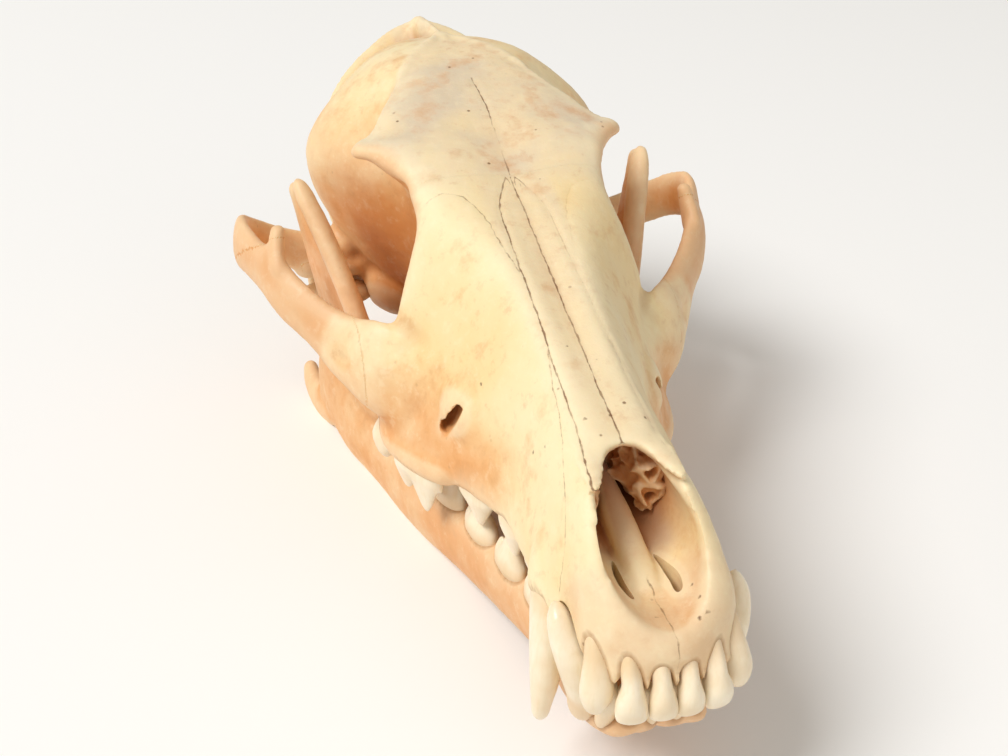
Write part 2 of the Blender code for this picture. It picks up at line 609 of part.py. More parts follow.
def cheek_block(side, grow):
    """A block that holds a jugal bone, larger by grow on the faces where the bone meets others."""
    point, over = slant(JUGAL_SEAM_TOP, JUGAL_SEAM_BOTTOM)
    block = joined("block", [half_space(point + over * grow, over)])
    inner = Vector((side * (JUGAL_FRONT_X - grow), 0, 0))
    cut(block, [half_space(inner, (side, 0, 0))])
    return cut(block, [half_space((0, JUGAL_END_Y + grow, 0), (0, -1, 0))])


def cranium_nodes():
    """The cranium in its four pieces, in skull space."""
    cranium = joined("cranium", brain_parts() + snout_parts() + arch_parts())
    fused(cranium, VOXEL, 4)
    thinned(cranium, RAW_TRIANGLES)
    cut(cranium, openings())
    cut(cranium, inner_nose(), "UNION")
    thinned(whole(cranium), CRANIUM_TRIANGLES)

    point, behind = slant(SUTURE_BOTTOM, SUTURE_TOP)
    brain = copied(cranium, "cranium_braincase")
    cut(brain, [half_space(point + behind * GAP / 2, behind)])
    face = copied(cranium, "cranium_face")
    cut(face, [half_space(point - behind * GAP / 2, -behind)])
    jugals = []
    for side, name in ((1, "left"), (-1, "right")):
        jugal = copied(cranium, "jugal_" + name)
        jugals.append(whole(combined(jugal, cheek_block(side, -GAP / 2), "INTERSECT")))
        for obj in (brain, face):
            combined(obj, cheek_block(side, GAP / 2), "DIFFERENCE")
    bpy.data.objects.remove(cranium)
    with_teeth(whole(face), upper_teeth(1) + upper_teeth(-1))
    cut(face, both(grown_canine))
    return [whole(brain), whole(face)] + jugals


def grown_canine(side=1):
    """The room round a lower canine with the mouth shut."""
    path, facing = LOWER_FRONT[-1]
    return front_tooth(path, facing, side, grow=CLEAR)


def jaw_nodes():
    """The two halves of the lower jaw with their teeth, in skull space."""
    left = joined("mandible_left", jaw_parts())
    fused(left, VOXEL, 4)
    cut(left, jaw_hollows())
    thinned(whole(left), JAW_TRIANGLES)
    right = copied(left, "mandible_right")
    for vert in right.data.vertices:
        vert.co.x = -vert.co.x
    right.data.flip_normals()
    nodes = []
    for jaw, side in ((left, 1), (right, -1)):
        with_teeth(jaw, lower_teeth(side))
        nodes.append(whole(jaw))
    return nodes


def bone():
    """Dry bone, matt and warm."""
    material = bpy.data.materials.new("bone")
    material.use_nodes = True
    shader = material.node_tree.nodes["Principled BSDF"]
    shader.inputs["Base Color"].default_value = (*BONE_COLOUR, 1.0)
    shader.inputs["Roughness"].default_value = BONE_ROUGHNESS
    shader.inputs["Metallic"].default_value = 0.0
    return material


def rest_turn():
    """The turn about x that sets the jaw's two resting places level."""
    rise = math.atan2(REST_BACK[1] - REST_FRONT[1], REST_BACK[0] - REST_FRONT[0])
    return Matrix.Rotation(-rise, 4, "X")


def rest_matrix():
    """From skull space in millimetres to the table in metres."""
    turn = rest_turn()
    low = turn @ Vector((0, *REST_FRONT))
    centre = turn @ Vector((0, MIDDLE_Y, 0))
    return Matrix.Scale(MM, 4) @ Matrix.Translation((0, -centre.y, -low.z)) @ turn


LAY = rest_matrix()


def main():
    for obj in list(bpy.data.objects):
        bpy.data.objects.remove(obj)
    jaws = jaw_nodes()
    up = rest_turn().inverted() @ Vector((0, 0, 1))
    for jaw in jaws:
        cut(jaw, [half_space((0, *REST_FRONT), up)])
    material = bone()
    for obj in cranium_nodes() + jaws:
        obj.data.transform(LAY)
        obj.data.materials.clear()
        obj.data.materials.append(material)
        obj.data.shade_smooth()


main()
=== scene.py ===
"""How a coyote's skull with its lower jaw looks, dressed over its solids.

Shapes are made in the skull's own space, in millimetres, and laid on the table at the end.
Skull space: the gum line of the upper teeth is z = 0, the front of the snout is y = 0,
y grows towards the back of the head, and x grows towards the skull's left side.
"""

import math

import bmesh
import bpy
import numpy as np
from mathutils import Matrix, Vector, kdtree, noise


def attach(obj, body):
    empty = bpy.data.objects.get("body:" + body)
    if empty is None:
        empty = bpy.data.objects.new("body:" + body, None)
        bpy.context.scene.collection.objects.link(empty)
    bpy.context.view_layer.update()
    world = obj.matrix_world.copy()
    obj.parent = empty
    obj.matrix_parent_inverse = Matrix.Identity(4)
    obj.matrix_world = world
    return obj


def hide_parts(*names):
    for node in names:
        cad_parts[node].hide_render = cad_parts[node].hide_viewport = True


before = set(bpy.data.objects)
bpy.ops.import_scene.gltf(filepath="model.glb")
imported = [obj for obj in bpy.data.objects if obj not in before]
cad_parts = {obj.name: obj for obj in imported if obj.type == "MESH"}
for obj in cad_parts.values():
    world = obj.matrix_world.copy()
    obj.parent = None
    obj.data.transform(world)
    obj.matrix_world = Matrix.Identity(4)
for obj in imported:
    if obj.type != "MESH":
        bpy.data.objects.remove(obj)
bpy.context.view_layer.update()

MM = 0.001
BODY = "root"

# Driving sizes of the skull
ARCH_HALF_WIDTH = 53.5  # cheek arches, to their outer faces
BRAIN_HALF_WIDTH = 35.0
JAW_GUM_Z = -11.5  # gum line of the lower teeth with the mouth shut
CONDYLE = (31.5, 150.0, 5.5)  # the middle of the jaw's hinge roller
CONDYLE_RADII = (10.0, 4.0, 3.8)
CLEAR = 0.6  # round a part of the other jaw that works in a hollow

# The table touches the jaw here, y and z, under the cheek teeth and under the angular process
REST_FRONT = (86.0, -28.3)
REST_BACK = (145.0, -22.6)
MIDDLE_Y = 97.3  # what comes to lie over the origin

# The plane between face and braincase: y, z
SUTURE_TOP = (96.5, 49.0)
SUTURE_BOTTOM = (107.0, -2.0)
JUGAL_FRONT_X = 33.5
# The seam between the jugal and the arch's rear half: y, z
JUGAL_SEAM_TOP = (119.0, 31.5)
JUGAL_SEAM_BOTTOM = (143.0, 17.5)
JUGAL_END_Y = 146.0
SEAM_GAP = 0.02

# How fine the shapes are
FORM_VOXEL = 0.8
BONE_VOXEL = 0.65
JAW_VOXEL = 0.6
SCROLL_VOXEL = 0.42
SHARP_ANGLE = 50.0  # degrees, so that only the faces cut between bones keep an edge
WAVER_SEED = 3  # so that seams and ridges waver the same way on each run
CURVE_STEP = 0.01  # how far ahead and behind a curve is read for its direction
BLOCK_SIZE = 400.0  # blocks that cut bones apart, larger than the skull

# Along the snout and forehead:
# y, top z, shoulder x, shoulder z, cheek x, cheek z, gum x, gum z, floor z
SNOUT_RINGS = (
    (-1.0, 6.2, 4.5, 5.6, 6.8, 3.4, 6.4, -1.5, -1.5),
    (3.0, 8.8, 7.7, 8.3, 10.3, 4.6, 10.0, -1.7, -0.5),
    (9.0, 13.2, 9.8, 12.3, 12.6, 7.0, 12.0, -1.0, 1.2),
    (18.0, 22.0, 8.7, 20.2, 12.9, 11.0, 14.4, 0.4, 2.5),
    (27.0, 25.6, 7.2, 24.0, 12.6, 13.0, 14.4, 0.3, 3.0),
    (42.0, 30.2, 7.0, 28.8, 13.0, 16.0, 14.4, 0.2, 3.5),
    (60.0, 36.0, 8.0, 34.8, 16.6, 19.5, 19.0, -0.6, 4.0),
    (76.0, 41.2, 11.0, 40.2, 21.0, 24.0, 26.4, -2.0, 4.0),
    (88.0, 45.6, 15.5, 44.8, 24.6, 29.0, 29.4, -3.0, 3.5),
    (96.0, 49.0, 18.6, 47.8, 18.5, 32.0, 27.4, -2.0, 3.5),
    (104.0, 52.3, 22.0, 51.3, 15.5, 36.0, 20.0, 0.5, 4.5),
    (113.5, 55.4, 26.3, 52.3, 15.0, 39.0, 10.0, 10.0, 7.0),
    (120.0, 57.6, 22.6, 55.0, 16.0, 41.0, 10.0, 11.0, 8.0),
    (127.0, 59.6, 18.8, 57.2, 16.5, 43.0, 9.0, 12.0, 9.0),
    (136.0, 61.9, 14.2, 59.9, 14.0, 45.0, 8.0, 14.0, 12.0),
    (148.0, 63.7, 7.5, 62.4, 9.0, 50.0, 6.0, 30.0, 28.0),
)
# The same columns along the braincase
BRAIN_RINGS = (
    (103.0, 50.0, 8.0, 49.0, 11.0, 38.0, 7.0, 17.0, 15.0),
    (113.0, 54.5, 12.0, 52.0, 14.5, 40.0, 9.0, 12.0, 9.0),
    (122.0, 57.5, 14.0, 54.0, 18.0, 42.0, 11.0, 12.0, 8.5),
    (131.0, 60.3, 14.5, 57.0, 24.5, 40.0, 14.0, 12.5, 8.5),
    (140.0, 62.8, 16.0, 60.0, 30.5, 41.0, 19.0, 12.5, 8.5),
    (150.0, 64.2, 18.5, 60.6, BRAIN_HALF_WIDTH, 41.0, 22.0, 13.0, 9.0),
    (162.0, 63.4, 18.0, 59.0, 34.0, 38.0, 23.0, 13.5, 10.0),
    (174.0, 60.5, 15.0, 56.0, 28.5, 36.0, 18.0, 15.0, 11.0),
    (184.0, 54.0, 10.0, 50.0, 17.0, 34.0, 11.0, 18.0, 13.0),
    (188.0, 47.0, 6.0, 43.0, 9.0, 33.0, 6.0, 22.0, 18.0),
)

# Bands below: one edge x, y, z, then the other edge x, y, z, then half the thickness
ARCH = (
    (11.5, 66.0, 21.0, 13.5, 64.0, 6.0, 3.2),
    (20.0, 78.0, 23.0, 22.8, 76.0, 4.0, 4.0),
    (28.0, 87.0, 24.5, 30.5, 85.0, 4.5, 4.4),
    (33.0, 95.0, 22.8, 37.0, 94.0, 8.8, 3.2),
    (38.6, 102.0, 24.5, 42.0, 102.0, 14.0, 2.4),
    (43.5, 109.0, 28.3, 47.3, 109.0, 18.3, 2.2),
    (46.5, 115.0, 32.0, 50.0, 116.0, 21.5, 2.1),
    (49.3, 122.0, 31.6, 52.0, 124.0, 22.3, 2.0),
    (ARCH_HALF_WIDTH - 1.5, 130.0, 34.0, ARCH_HALF_WIDTH, 132.0, 21.8, 1.9),
    (51.5, 137.0, 32.8, 52.2, 139.0, 20.3, 1.9),
    (48.3, 144.0, 29.0, 48.3, 145.0, 17.0, 2.2),
    (42.0, 148.5, 24.5, 42.0, 149.0, 14.0, 3.4),
    (34.0, 151.0, 21.5, 34.0, 151.0, 12.0, 5.0),
    (24.0, 152.5, 24.0, 24.0, 152.5, 12.0, 7.0),
)
# The crest round the back of the head, from the middle outwards and down
NUCHAL = (
    (0.0, 191.0, 62.8, 0.0, 180.0, 50.0, 2.0),
    (7.0, 190.0, 60.8, 5.0, 179.0, 49.0, 1.8),
    (13.6, 186.5, 57.4, 9.0, 177.0, 47.0, 1.8),
    (20.5, 182.0, 53.0, 13.0, 173.0, 43.0, 1.8),
    (26.5, 176.5, 46.5, 16.0, 169.0, 38.0, 1.9),
    (30.0, 170.0, 36.0, 17.0, 165.0, 32.0, 2.2),
    (30.5, 165.5, 25.0, 17.0, 161.0, 25.0, 2.8),
    (28.5, 163.0, 15.0, 17.0, 159.0, 17.0, 3.2),
)
# The jaw's body: gum edge, lower edge
JAW_BODY = (
    (3.6, 3.0, -11.8, 3.4, 4.6, -15.4, 3.2),
    (5.4, 8.0, -12.0, 4.8, 12.0, -20.0, 4.3),
    (7.2, 17.0, -12.2, 6.2, 20.5, -23.6, 4.3),
    (8.8, 28.0, -12.0, 7.4, 30.0, -24.4, 3.8),
    (10.8, 42.0, -11.5, 9.2, 43.0, -25.4, 3.6),
    (14.3, 58.0, -11.5, 12.6, 58.0, -26.8, 3.6),
    (18.6, 76.0, -11.5, 16.8, 75.0, -28.2, 3.9),
    (23.4, 94.0, -11.0, 22.0, 92.0, -28.6, 4.1),
    (27.5, 110.0, -8.0, 27.2, 110.0, -27.0, 3.8),
    (31.5, 122.0, -4.0, 32.0, 122.0, -25.0, 3.3),
    (34.3, 134.0, 0.0, 35.0, 134.0, -22.8, 2.8),
    (35.0, 144.0, 2.0, 37.0, 144.0, -21.8, 2.5),
)
# The jaw's upright blade: front edge, rear edge
CORONOID = (
    (26.5, 105.0, -11.0, 33.0, 141.0, -10.0, 3.4),
    (29.5, 108.5, 5.0, 34.5, 142.0, 3.0, 2.5),
    (32.5, 113.0, 18.0, 36.5, 138.0, 15.0, 2.1),
    (35.8, 119.5, 28.0, 38.0, 136.0, 26.0, 2.0),
    (38.2, 126.0, 35.5, 39.2, 134.5, 34.5, 1.9),
    (39.8, 129.5, 41.6, 40.0, 134.0, 39.8, 1.8),
)

# Front teeth as sweeps: x, y, z, half width, half depth; and how far each faces outwards
UPPER_FRONT = (
    (((2.2, 4.6, 5.0, 1.2, 1.8), (2.2, 1.6, 0.0, 1.45, 2.3), (2.2, 0.2, -2.2, 1.5, 2.3),
      (2.25, -0.6, -4.8, 2.2, 2.2), (2.2, -0.9, -7.0, 2.3, 1.3), (2.2, -0.6, -8.4, 1.9, 0.5)), 4),
    (((6.4, 5.4, 5.0, 1.3, 1.9), (6.6, 2.4, 0.0, 1.6, 2.5), (6.7, 1.0, -2.4, 1.7, 2.5),
      (7.0, 0.2, -5.0, 2.5, 2.4), (7.1, -0.1, -7.2, 2.5, 1.4), (7.0, 0.1, -8.6, 1.9, 0.5)), 14),
    (((10.0, 8.4, 6.0, 1.7, 2.2), (10.6, 5.9, 0.6, 2.1, 2.7), (11.0, 4.7, -2.0, 2.5, 2.9),
      (11.5, 3.8, -4.6, 2.7, 2.7), (11.7, 3.8, -6.7, 2.0, 2.0), (11.6, 4.3, -8.1, 1.0, 1.0)), 38),
    (((10.6, 29.0, 9.0, 1.8, 2.8), (12.9, 24.4, 3.2, 2.9, 4.2), (14.0, 21.4, -3.5, 3.2, 4.3),
      (15.0, 19.9, -12.0, 2.7, 3.3), (15.8, 19.8, -19.0, 1.8, 2.0), (16.0, 20.4, -22.8, 1.2, 1.2)), 12),
)
LOWER_FRONT = (
    (((2.1, 8.0, -16.0, 1.1, 1.6), (2.1, 4.8, -11.5, 1.3, 1.8), (2.1, 3.9, -8.0, 1.8, 1.7),
      (2.1, 3.9, -4.8, 1.7, 0.9)), 4),
    (((5.2, 9.0, -16.0, 1.2, 1.8), (5.2, 5.6, -11.5, 1.5, 2.0), (5.5, 4.7, -8.0, 2.1, 1.9),
      (5.6, 4.7, -4.6, 1.9, 1.0)), 14),
    (((8.0, 11.0, -17.0, 1.4, 2.0), (8.4, 7.6, -11.8, 1.8, 2.2), (9.0, 6.6, -8.0, 2.3, 2.1),
      (9.4, 6.7, -4.4, 1.8, 1.2)), 32),
    (((8.8, 19.0, -20.0, 2.7, 3.6), (10.0, 13.8, -12.0, 3.2, 4.6), (12.2, 11.2, -4.0, 3.4, 4.2),
      (14.2, 12.0, 1.6, 2.6, 3.2), (15.2, 14.0, 6.2, 1.2, 1.4)), 20),
)

ROOT_LEAN = 2.0  # how far the cheek teeth's roots lean inwards
ROOT_LENGTH = 5.0
NECK_SHARE = 0.88  # a cheek tooth's width at the gum, as a share of its widest
GUM_COVER = 0.6  # how far the bone reaches up a cheek tooth
# Cheek teeth: x, y, length, width, height, turn in degrees, and cusps along, across, height, spread
ONE_POINT = ((-0.1, 0.0, 1.0, 0.5), (0.6, 0.0, 0.45, 0.35))
BLADE_UP = ((-0.3, 0.1, 1.0, 0.38), (0.45, 0.1, 0.72, 0.4), (-0.8, -0.1, 0.35, 0.25))
BLADE_LOW = (
    (-0.62, 0.0, 0.68, 0.32),
    (-0.08, 0.1, 1.0, 0.3),
    (0.55, 0.2, 0.42, 0.3),
    (0.6, -0.4, 0.38, 0.25),
)
GRINDER_UP = ((-0.35, 0.6, 1.0, 0.38), (0.4, 0.6, 0.85, 0.36), (0.0, -0.5, 0.5, 0.5))
GRINDER_LOW = ((-0.4, 0.35, 1.0, 0.4), (-0.4, -0.4, 0.85, 0.4), (0.5, 0.3, 0.7, 0.35))
UPPER_CHEEK = (
    (12.8, 34.3, 6.2, 3.8, 5.0, 2, ONE_POINT),
    (13.4, 46.3, 11.6, 4.8, 7.4, 8, ONE_POINT),
    (16.8, 59.8, 12.8, 5.2, 7.8, 22, ONE_POINT),
    (25.2, 76.0, 19.8, 6.6, 10.5, 20, BLADE_UP),
    (26.4, 90.8, 12.0, 12.8, 5.2, 6, GRINDER_UP),
    (24.8, 99.4, 6.2, 9.5, 3.6, 2, GRINDER_UP),
)
LOWER_CHEEK = (
    (10.2, 28.0, 4.4, 3.6, 4.4, 6, ONE_POINT),
    (10.9, 38.5, 11.0, 4.8, 7.6, 8, ONE_POINT),
    (13.0, 50.2, 12.0, 5.2, 8.4, 12, ONE_POINT),
    (15.6, 63.0, 12.8, 5.4, 8.6, 14, ONE_POINT),
    (19.2, 80.3, 21.6, 6.2, 10.4, 12, BLADE_LOW),
    (23.8, 96.4, 9.6, 6.4, 4.2, 12, GRINDER_LOW),
    (25.6, 103.6, 4.4, 4.2, 2.6, 12, GRINDER_LOW),
)

# Heights where the teeth are fully warm, near the gum, and where they stop being warm
UPPER_WARM = (2.6, -1.8)
LOWER_WARM = (JAW_GUM_Z - 0.6, JAW_GUM_Z + 2.4)

# Seams between bones on the left side: points x, y, z along each, and how far it wavers
DARK_SEAMS = (
    (((0.0, 26.0, 25.4), (0.1, 40.0, 29.8), (0.3, 58.0, 35.4), (0.4, 76.0, 41.2),
      (0.1, 95.0, 48.7), (0.5, 106.0, 53.1), (0.9, 118.0, 57.0), (0.6, 130.0, 60.4)), 0.16),
    (((7.6, 18.0, 22.2), (6.3, 32.0, 26.6), (6.0, 45.0, 30.5), (5.3, 55.0, 34.1),
      (5.2, 66.0, 38.2), (4.8, 79.0, 42.8), (4.2, 88.0, 45.9), (0.7, 96.4, 49.3)), 0.18),
)
FINE_SEAMS = (
    (((13.6, 15.6, 7.0), (11.8, 19.5, 14.9), (9.2, 28.1, 21.5), (7.8, 36.1, 26.1),
      (7.0, 42.7, 28.9), (5.8, 50.0, 32.3)), 0.2),
    (((17.4, 92.6, 45.6), (14.4, 92.3, 47.5), (10.7, 89.9, 46.9), (8.1, 84.3, 44.8),
      (6.9, 76.4, 41.8), (5.5, 69.0, 39.2)), 0.3),
    (((0.1, 14.0, 7.0), (0.0, 6.5, 6.1), (0.1, 0.5, 5.6), (0.0, -0.9, 2.8), (0.0, -1.0, -2.4)), 0.3),
)
SEAM_STEP = 0.25
SEAM_REACH = 1.6
CHEEK_SEAM_X = 30.5  # the jugal's seams lie farther out than this
CHEEK_SEAM_HOLLOW = 0.4  # how browned the jugal's seams are, as a hollow's depth in millimetres
FAR_SIDE_SHARE = 0.46  # how strongly the side seams show on the skull's left
SEAM_DEPTHS = (0.22, 0.12)  # of the dark and of the fine seams
SEAM_WIDTHS = (0.55, 0.5)
SOCKET_REACH = 1.3
# Curled plates in the nose: middle x, y, z, outer reach, turns, and half the depth
SCROLLS = (
    ((6.0, 31.5, 13.2), 2.5, 1.4, 3.6),
    ((5.9, 31.0, 18.0), 2.2, -1.4, 3.2),
    ((5.4, 36.5, 15.6), 3.0, 1.5, 5.0),
    ((5.6, 35.0, 19.8), 2.6, -1.3, 4.5),
    ((3.4, 42.0, 20.6), 2.2, 1.3, 5.0),
    ((3.4, 42.5, 24.6), 1.8, -1.2, 5.0),
    ((4.4, 53.0, 21.0), 2.8, -1.6, 5.0),
)
SCROLL_POINTS = 26
# Small blood-vessel holes: x, y, z, not mirrored
PITS = (
    (-2.4, 49.2, 32.7), (-4.5, 32.3, 27.2), (1.8, 45.3, 31.4), (-10.3, 35.2, 21.3),
    (-11.7, 38.7, 18.6), (-15.5, 59.6, 22.0), (-17.5, 74.4, 30.1), (-1.3, 5.6, 6.4),
    (5.6, 5.6, 8.5), (5.7, 8.8, 8.5), (5.8, 2.8, 7.7), (4.3, 2.3, 7.2),
)
PIT_REACH = 1.3
# The ridge that the chewing muscle leaves from the brow to the crest
TEMPORAL_LINE = (
    (27.7, 114.0, 51.6),
    (23.5, 120.0, 55.5),
    (19.6, 126.0, 57.3),
    (14.5, 136.0, 60.0),
    (7.5, 148.0, 62.6),
    (0.5, 160.0, 64.3),
)
TEMPORAL_RISE = 0.75
TEMPORAL_WIDTH = 1.3
TEMPORAL_WAVER = 0.5
# Swellings and dents, left side: middle x, y, z, reach x, y, z, and height
RELIEF = (
    (0.0, 104.0, 53.0, 6.0, 15.0, 8.0, -0.9),
    (12.0, 108.0, 53.5, 7.0, 10.0, 6.0, 0.5),
    (0.0, 60.0, 36.0, 2.6, 34.0, 14.0, -0.5),
    (14.5, 47.0, 15.0, 5.0, 10.0, 9.0, -0.9),
    (19.0, 76.0, 30.0, 6.0, 10.0, 8.0, -0.5),
    (27.5, 81.5, 21.5, 5.0, 6.0, 5.5, -2.1),
    (28.0, 78.0, 12.0, 5.0, 6.0, 5.0, -1.2),
    (37.0, 92.5, 15.5, 2.6, 3.5, 2.2, -0.9),
    (20.4, 101.0, 46.6, 1.6, 2.4, 1.8, -0.8),
    (17.0, 92.0, 42.0, 4.0, 5.0, 5.0, 0.4),
    (9.6, 30.0, 20.0, 3.0, 9.0, 5.0, 0.4),
    (33.0, 140.0, 46.0, 6.0, 12.0, 9.0, 0.6),
    (24.0, 132.0, 50.0, 5.0, 9.0, 6.0, -0.8),
)
# The soft unevenness of all bone: swellings this high and this wide
UNEVEN = ((0.13, 8.0), (0.07, 3.0), (0.04, 1.5))
HOLLOW_ROUNDS = 50  # how often the surface is evened to find its hollows


def through(keys, at):
    """Each column of keys as a smooth curve over the first column, read at a place."""
    table = np.array(keys, float)
    x, value = table[:, 0], table[:, 1:]
    slope = np.diff(value, axis=0) / np.diff(x)[:, None]
    tangent = np.vstack([slope[:1], slope[-1:]])
    before, after = slope[:-1], slope[1:]
    same_way = before * after > 0
    total = np.where(same_way, before + after, 1.0)
    middle = np.where(same_way, 2 * before * after / total, 0.0)
    tangent = np.vstack([tangent[:1], middle, tangent[1:]])
    at = min(max(at, x[0]), x[-1])
    i = min(int(np.searchsorted(x, at, side="right")) - 1, len(x) - 2)
    width = x[i + 1] - x[i]
    s = (at - x[i]) / width
    return (
        (1 + 2 * s) * (1 - s) ** 2 * value[i]
        + s * (1 - s) ** 2 * width * tangent[i]
        + s * s * (3 - 2 * s) * value[i + 1]
        + s * s * (s - 1) * width * tangent[i + 1]
    )


def catmull(points, at):
    """A smooth curve through evenly timed points, at from 0 to 1."""
    p = np.array(points, float)
    place = min(max(at, 0.0), 1.0) * (len(p) - 1)
    i = min(int(place), len(p) - 2)
    s = place - i
    before = p[i - 1] if i else 2 * p[0] - p[1]
    after = p[i + 2] if i + 2 < len(p) else 2 * p[-1] - p[-2]
    return 0.5 * (
        2 * p[i]
        + (p[i + 1] - before) * s
        + (2 * before - 5 * p[i] + 4 * p[i + 1] - after) * s**2
        + (3 * p[i] - before - 3 * p[i + 1] + after) * s**3
    )


def round_end(t, share):
    """How wide a form is at t from 0 to 1 when its ends are rounded over this share."""
    near = min(t, 1 - t) / share
    return 1.0 if near >= 1 else math.sqrt(max(0.0, 1 - (1 - near) ** 2))


def shaped(place, around, along, side=1):
    """A sphere's net of faces with each point put where place(t, angle) says, as a bmesh."""
    bm = bmesh.new()
    bmesh.ops.create_uvsphere(bm, u_segments=around, v_segments=along, radius=1.0)
    for vert in bm.verts:
        t = math.acos(min(1.0, max(-1.0, -vert.co.z))) / math.pi
        x, y, z = place(t, math.atan2(vert.co.y, vert.co.x))
        vert.co = (side * x, y, z)
    if bm.calc_volume(signed=True) < 0:
        bmesh.ops.reverse_faces(bm, faces=bm.faces[:])
    return bm


def ringed(rings, cap, around=56, along=110):
    """A head form from its rings."""

    def place(t, angle):
        y = rings[0][0] + t * (rings[-1][0] - rings[0][0])
        top, sx, sz, cx, cz, gx, gz, floor = through(rings, y)
        half = [(-sx, sz), (0, top), (sx, sz), (cx, cz), (gx, gz), (0, floor), (-gx, gz)]
        # From the top, the second of the seven points, to the floor, the sixth
        share = abs(angle) / math.pi
        x, z = catmull(half, (1 + share * 4) / 6)
        k = round_end(t, cap)
        middle = (top + floor) / 2
        return (math.copysign(max(x, 0.0), angle) * k, y, middle + (z - middle) * k)

    return shaped(place, around, along)


def sweep(path, side=1, up=(0, 0, 1), cap=0.1, around=20, along=36):
    """A limb with an oval section along a path of x, y, z, half thickness, half height."""

    def place(t, angle):
        x, y, z, thick, high = catmull(path, t)
        ahead, behind = catmull(path, t + CURVE_STEP), catmull(path, t - CURVE_STEP)
        tangent = Vector((ahead - behind)[:3]).normalized()
        across = Vector(up).cross(tangent).normalized()
        upright = tangent.cross(across)
        k = round_end(t, cap)
        offset = across * (math.cos(angle) * thick * k)
        offset += upright * (math.sin(angle) * high * k)
        return Vector((x, y, z)) + offset

    return shaped(place, around, along, side)


def ball(centre, radii, side=1, turn=(0, 0, 0), around=32, along=20):
    """An oval ball, turned by degrees about x, y and z."""
    spin = Matrix.Rotation(math.radians(turn[2]), 3, "Z")
    spin = spin @ Matrix.Rotation(math.radians(turn[1]), 3, "Y")
    spin = spin @ Matrix.Rotation(math.radians(turn[0]), 3, "X")

    def place(t, angle):
        wide = math.sin(t * math.pi)
        point = (math.cos(angle) * wide, math.sin(angle) * wide, -math.cos(t * math.pi))
        return Vector(centre) + spin @ Vector(p * r for p, r in zip(point, radii))

    return shaped(place, around, along, side)


def both(make, *args, **kwargs):
    """The same form on the left and on the right."""
    return [make(*args, side=side, **kwargs) for side in (1, -1)]


def band(keys, side=1, cap=0.06, around=24, along=90):
    """A flat limb between two edges, each key an edge point, the other one and half a thickness."""

    def place(t, angle):
        key = catmull(keys, t)
        one, other, thick = Vector(key[:3]), Vector(key[3:6]), key[6]
        ahead, behind = catmull(keys, t + CURVE_STEP), catmull(keys, t - CURVE_STEP)
        tangent = Vector((ahead - behind)[:3] + (ahead - behind)[3:6]).normalized()
        half = (one - other) / 2
        across = half.cross(tangent).normalized() * thick
        k = round_end(t, cap)
        return (one + other) / 2 + half * (math.sin(angle) * k) + across * (math.cos(angle) * k)

    return shaped(place, around, along, side)


def cusp_height(u, v, along, across, height, spread):
    """How high one cusp stands at a place on the tooth."""
    return height * math.exp(-((u - along) ** 2 + 0.6 * (v - across) ** 2) / spread**2)


def crown(spec, gum, down, side=1, around=40, along=36):
    """A cheek tooth, its root in the bone and its cusps away from it."""
    x, y, length, width, height, turn, cusps = spec
    spin = Matrix.Rotation(math.radians(-turn), 2)
    root = min(length, ROOT_LENGTH)

    def place(t, angle):
        if t < 0.5:
            deep = 1 - 2 * t
            r = NECK_SHARE * math.sqrt(1 - deep**3)
            z = -root * deep
        else:
            r = 2 * (1 - t)
            u, v = math.cos(angle) * r, math.sin(angle) * r
            rise = max(cusp_height(u, v, *cusp) for cusp in cusps)
            z = height * (0.25 + 0.75 * rise) * math.sqrt(1 - r**4)
            r *= NECK_SHARE + (1 - NECK_SHARE) * min(1.0, (1 - r) / 0.15)
        along_row = math.cos(angle) * r * length / 2
        across = math.sin(angle) * r * width / 2
        offset = spin @ Vector((across, along_row))
        lean = ROOT_LEAN * max(0.0, 1 - 2 * t)
        return (x + offset.x - lean, y + offset.y, gum - z if down else gum + z)

    return shaped(place, around, along, side)


def front_tooth(path, facing, side=1, grow=0.0, around=28, along=40):
    """An incisor or a canine, turned outwards by some degrees."""
    up = (-math.sin(math.radians(facing)), math.cos(math.radians(facing)), 0)
    grown = [(x, y, z, w + grow, d + grow) for x, y, z, w, d in path]
    return sweep(grown, side, up, cap=0.14, around=around, along=along)


def upper_teeth(side):
    """One side's upper teeth, with the inner root of the large cutting tooth."""
    teeth = [front_tooth(path, facing, side) for path, facing in UPPER_FRONT]
    for spec in UPPER_CHEEK:
        gum = through(SNOUT_RINGS, spec[1])[6] + GUM_COVER
        teeth.append(crown(spec, gum, True, side))
    inner = ((18.0, 68.0, 3.0, 2.2, 3.0), (18.6, 68.0, -1.5, 2.0, 2.4), (18.8, 68.0, -3.5, 0.8, 1.0))
    teeth.append(sweep(inner, side, (0, 1, 0)))
    return teeth


def lower_teeth(side):
    """One side's lower teeth."""
    teeth = [front_tooth(path, facing, side) for path, facing in LOWER_FRONT]
    teeth += [crown(spec, JAW_GUM_Z - GUM_COVER, False, side) for spec in LOWER_CHEEK]
    return teeth


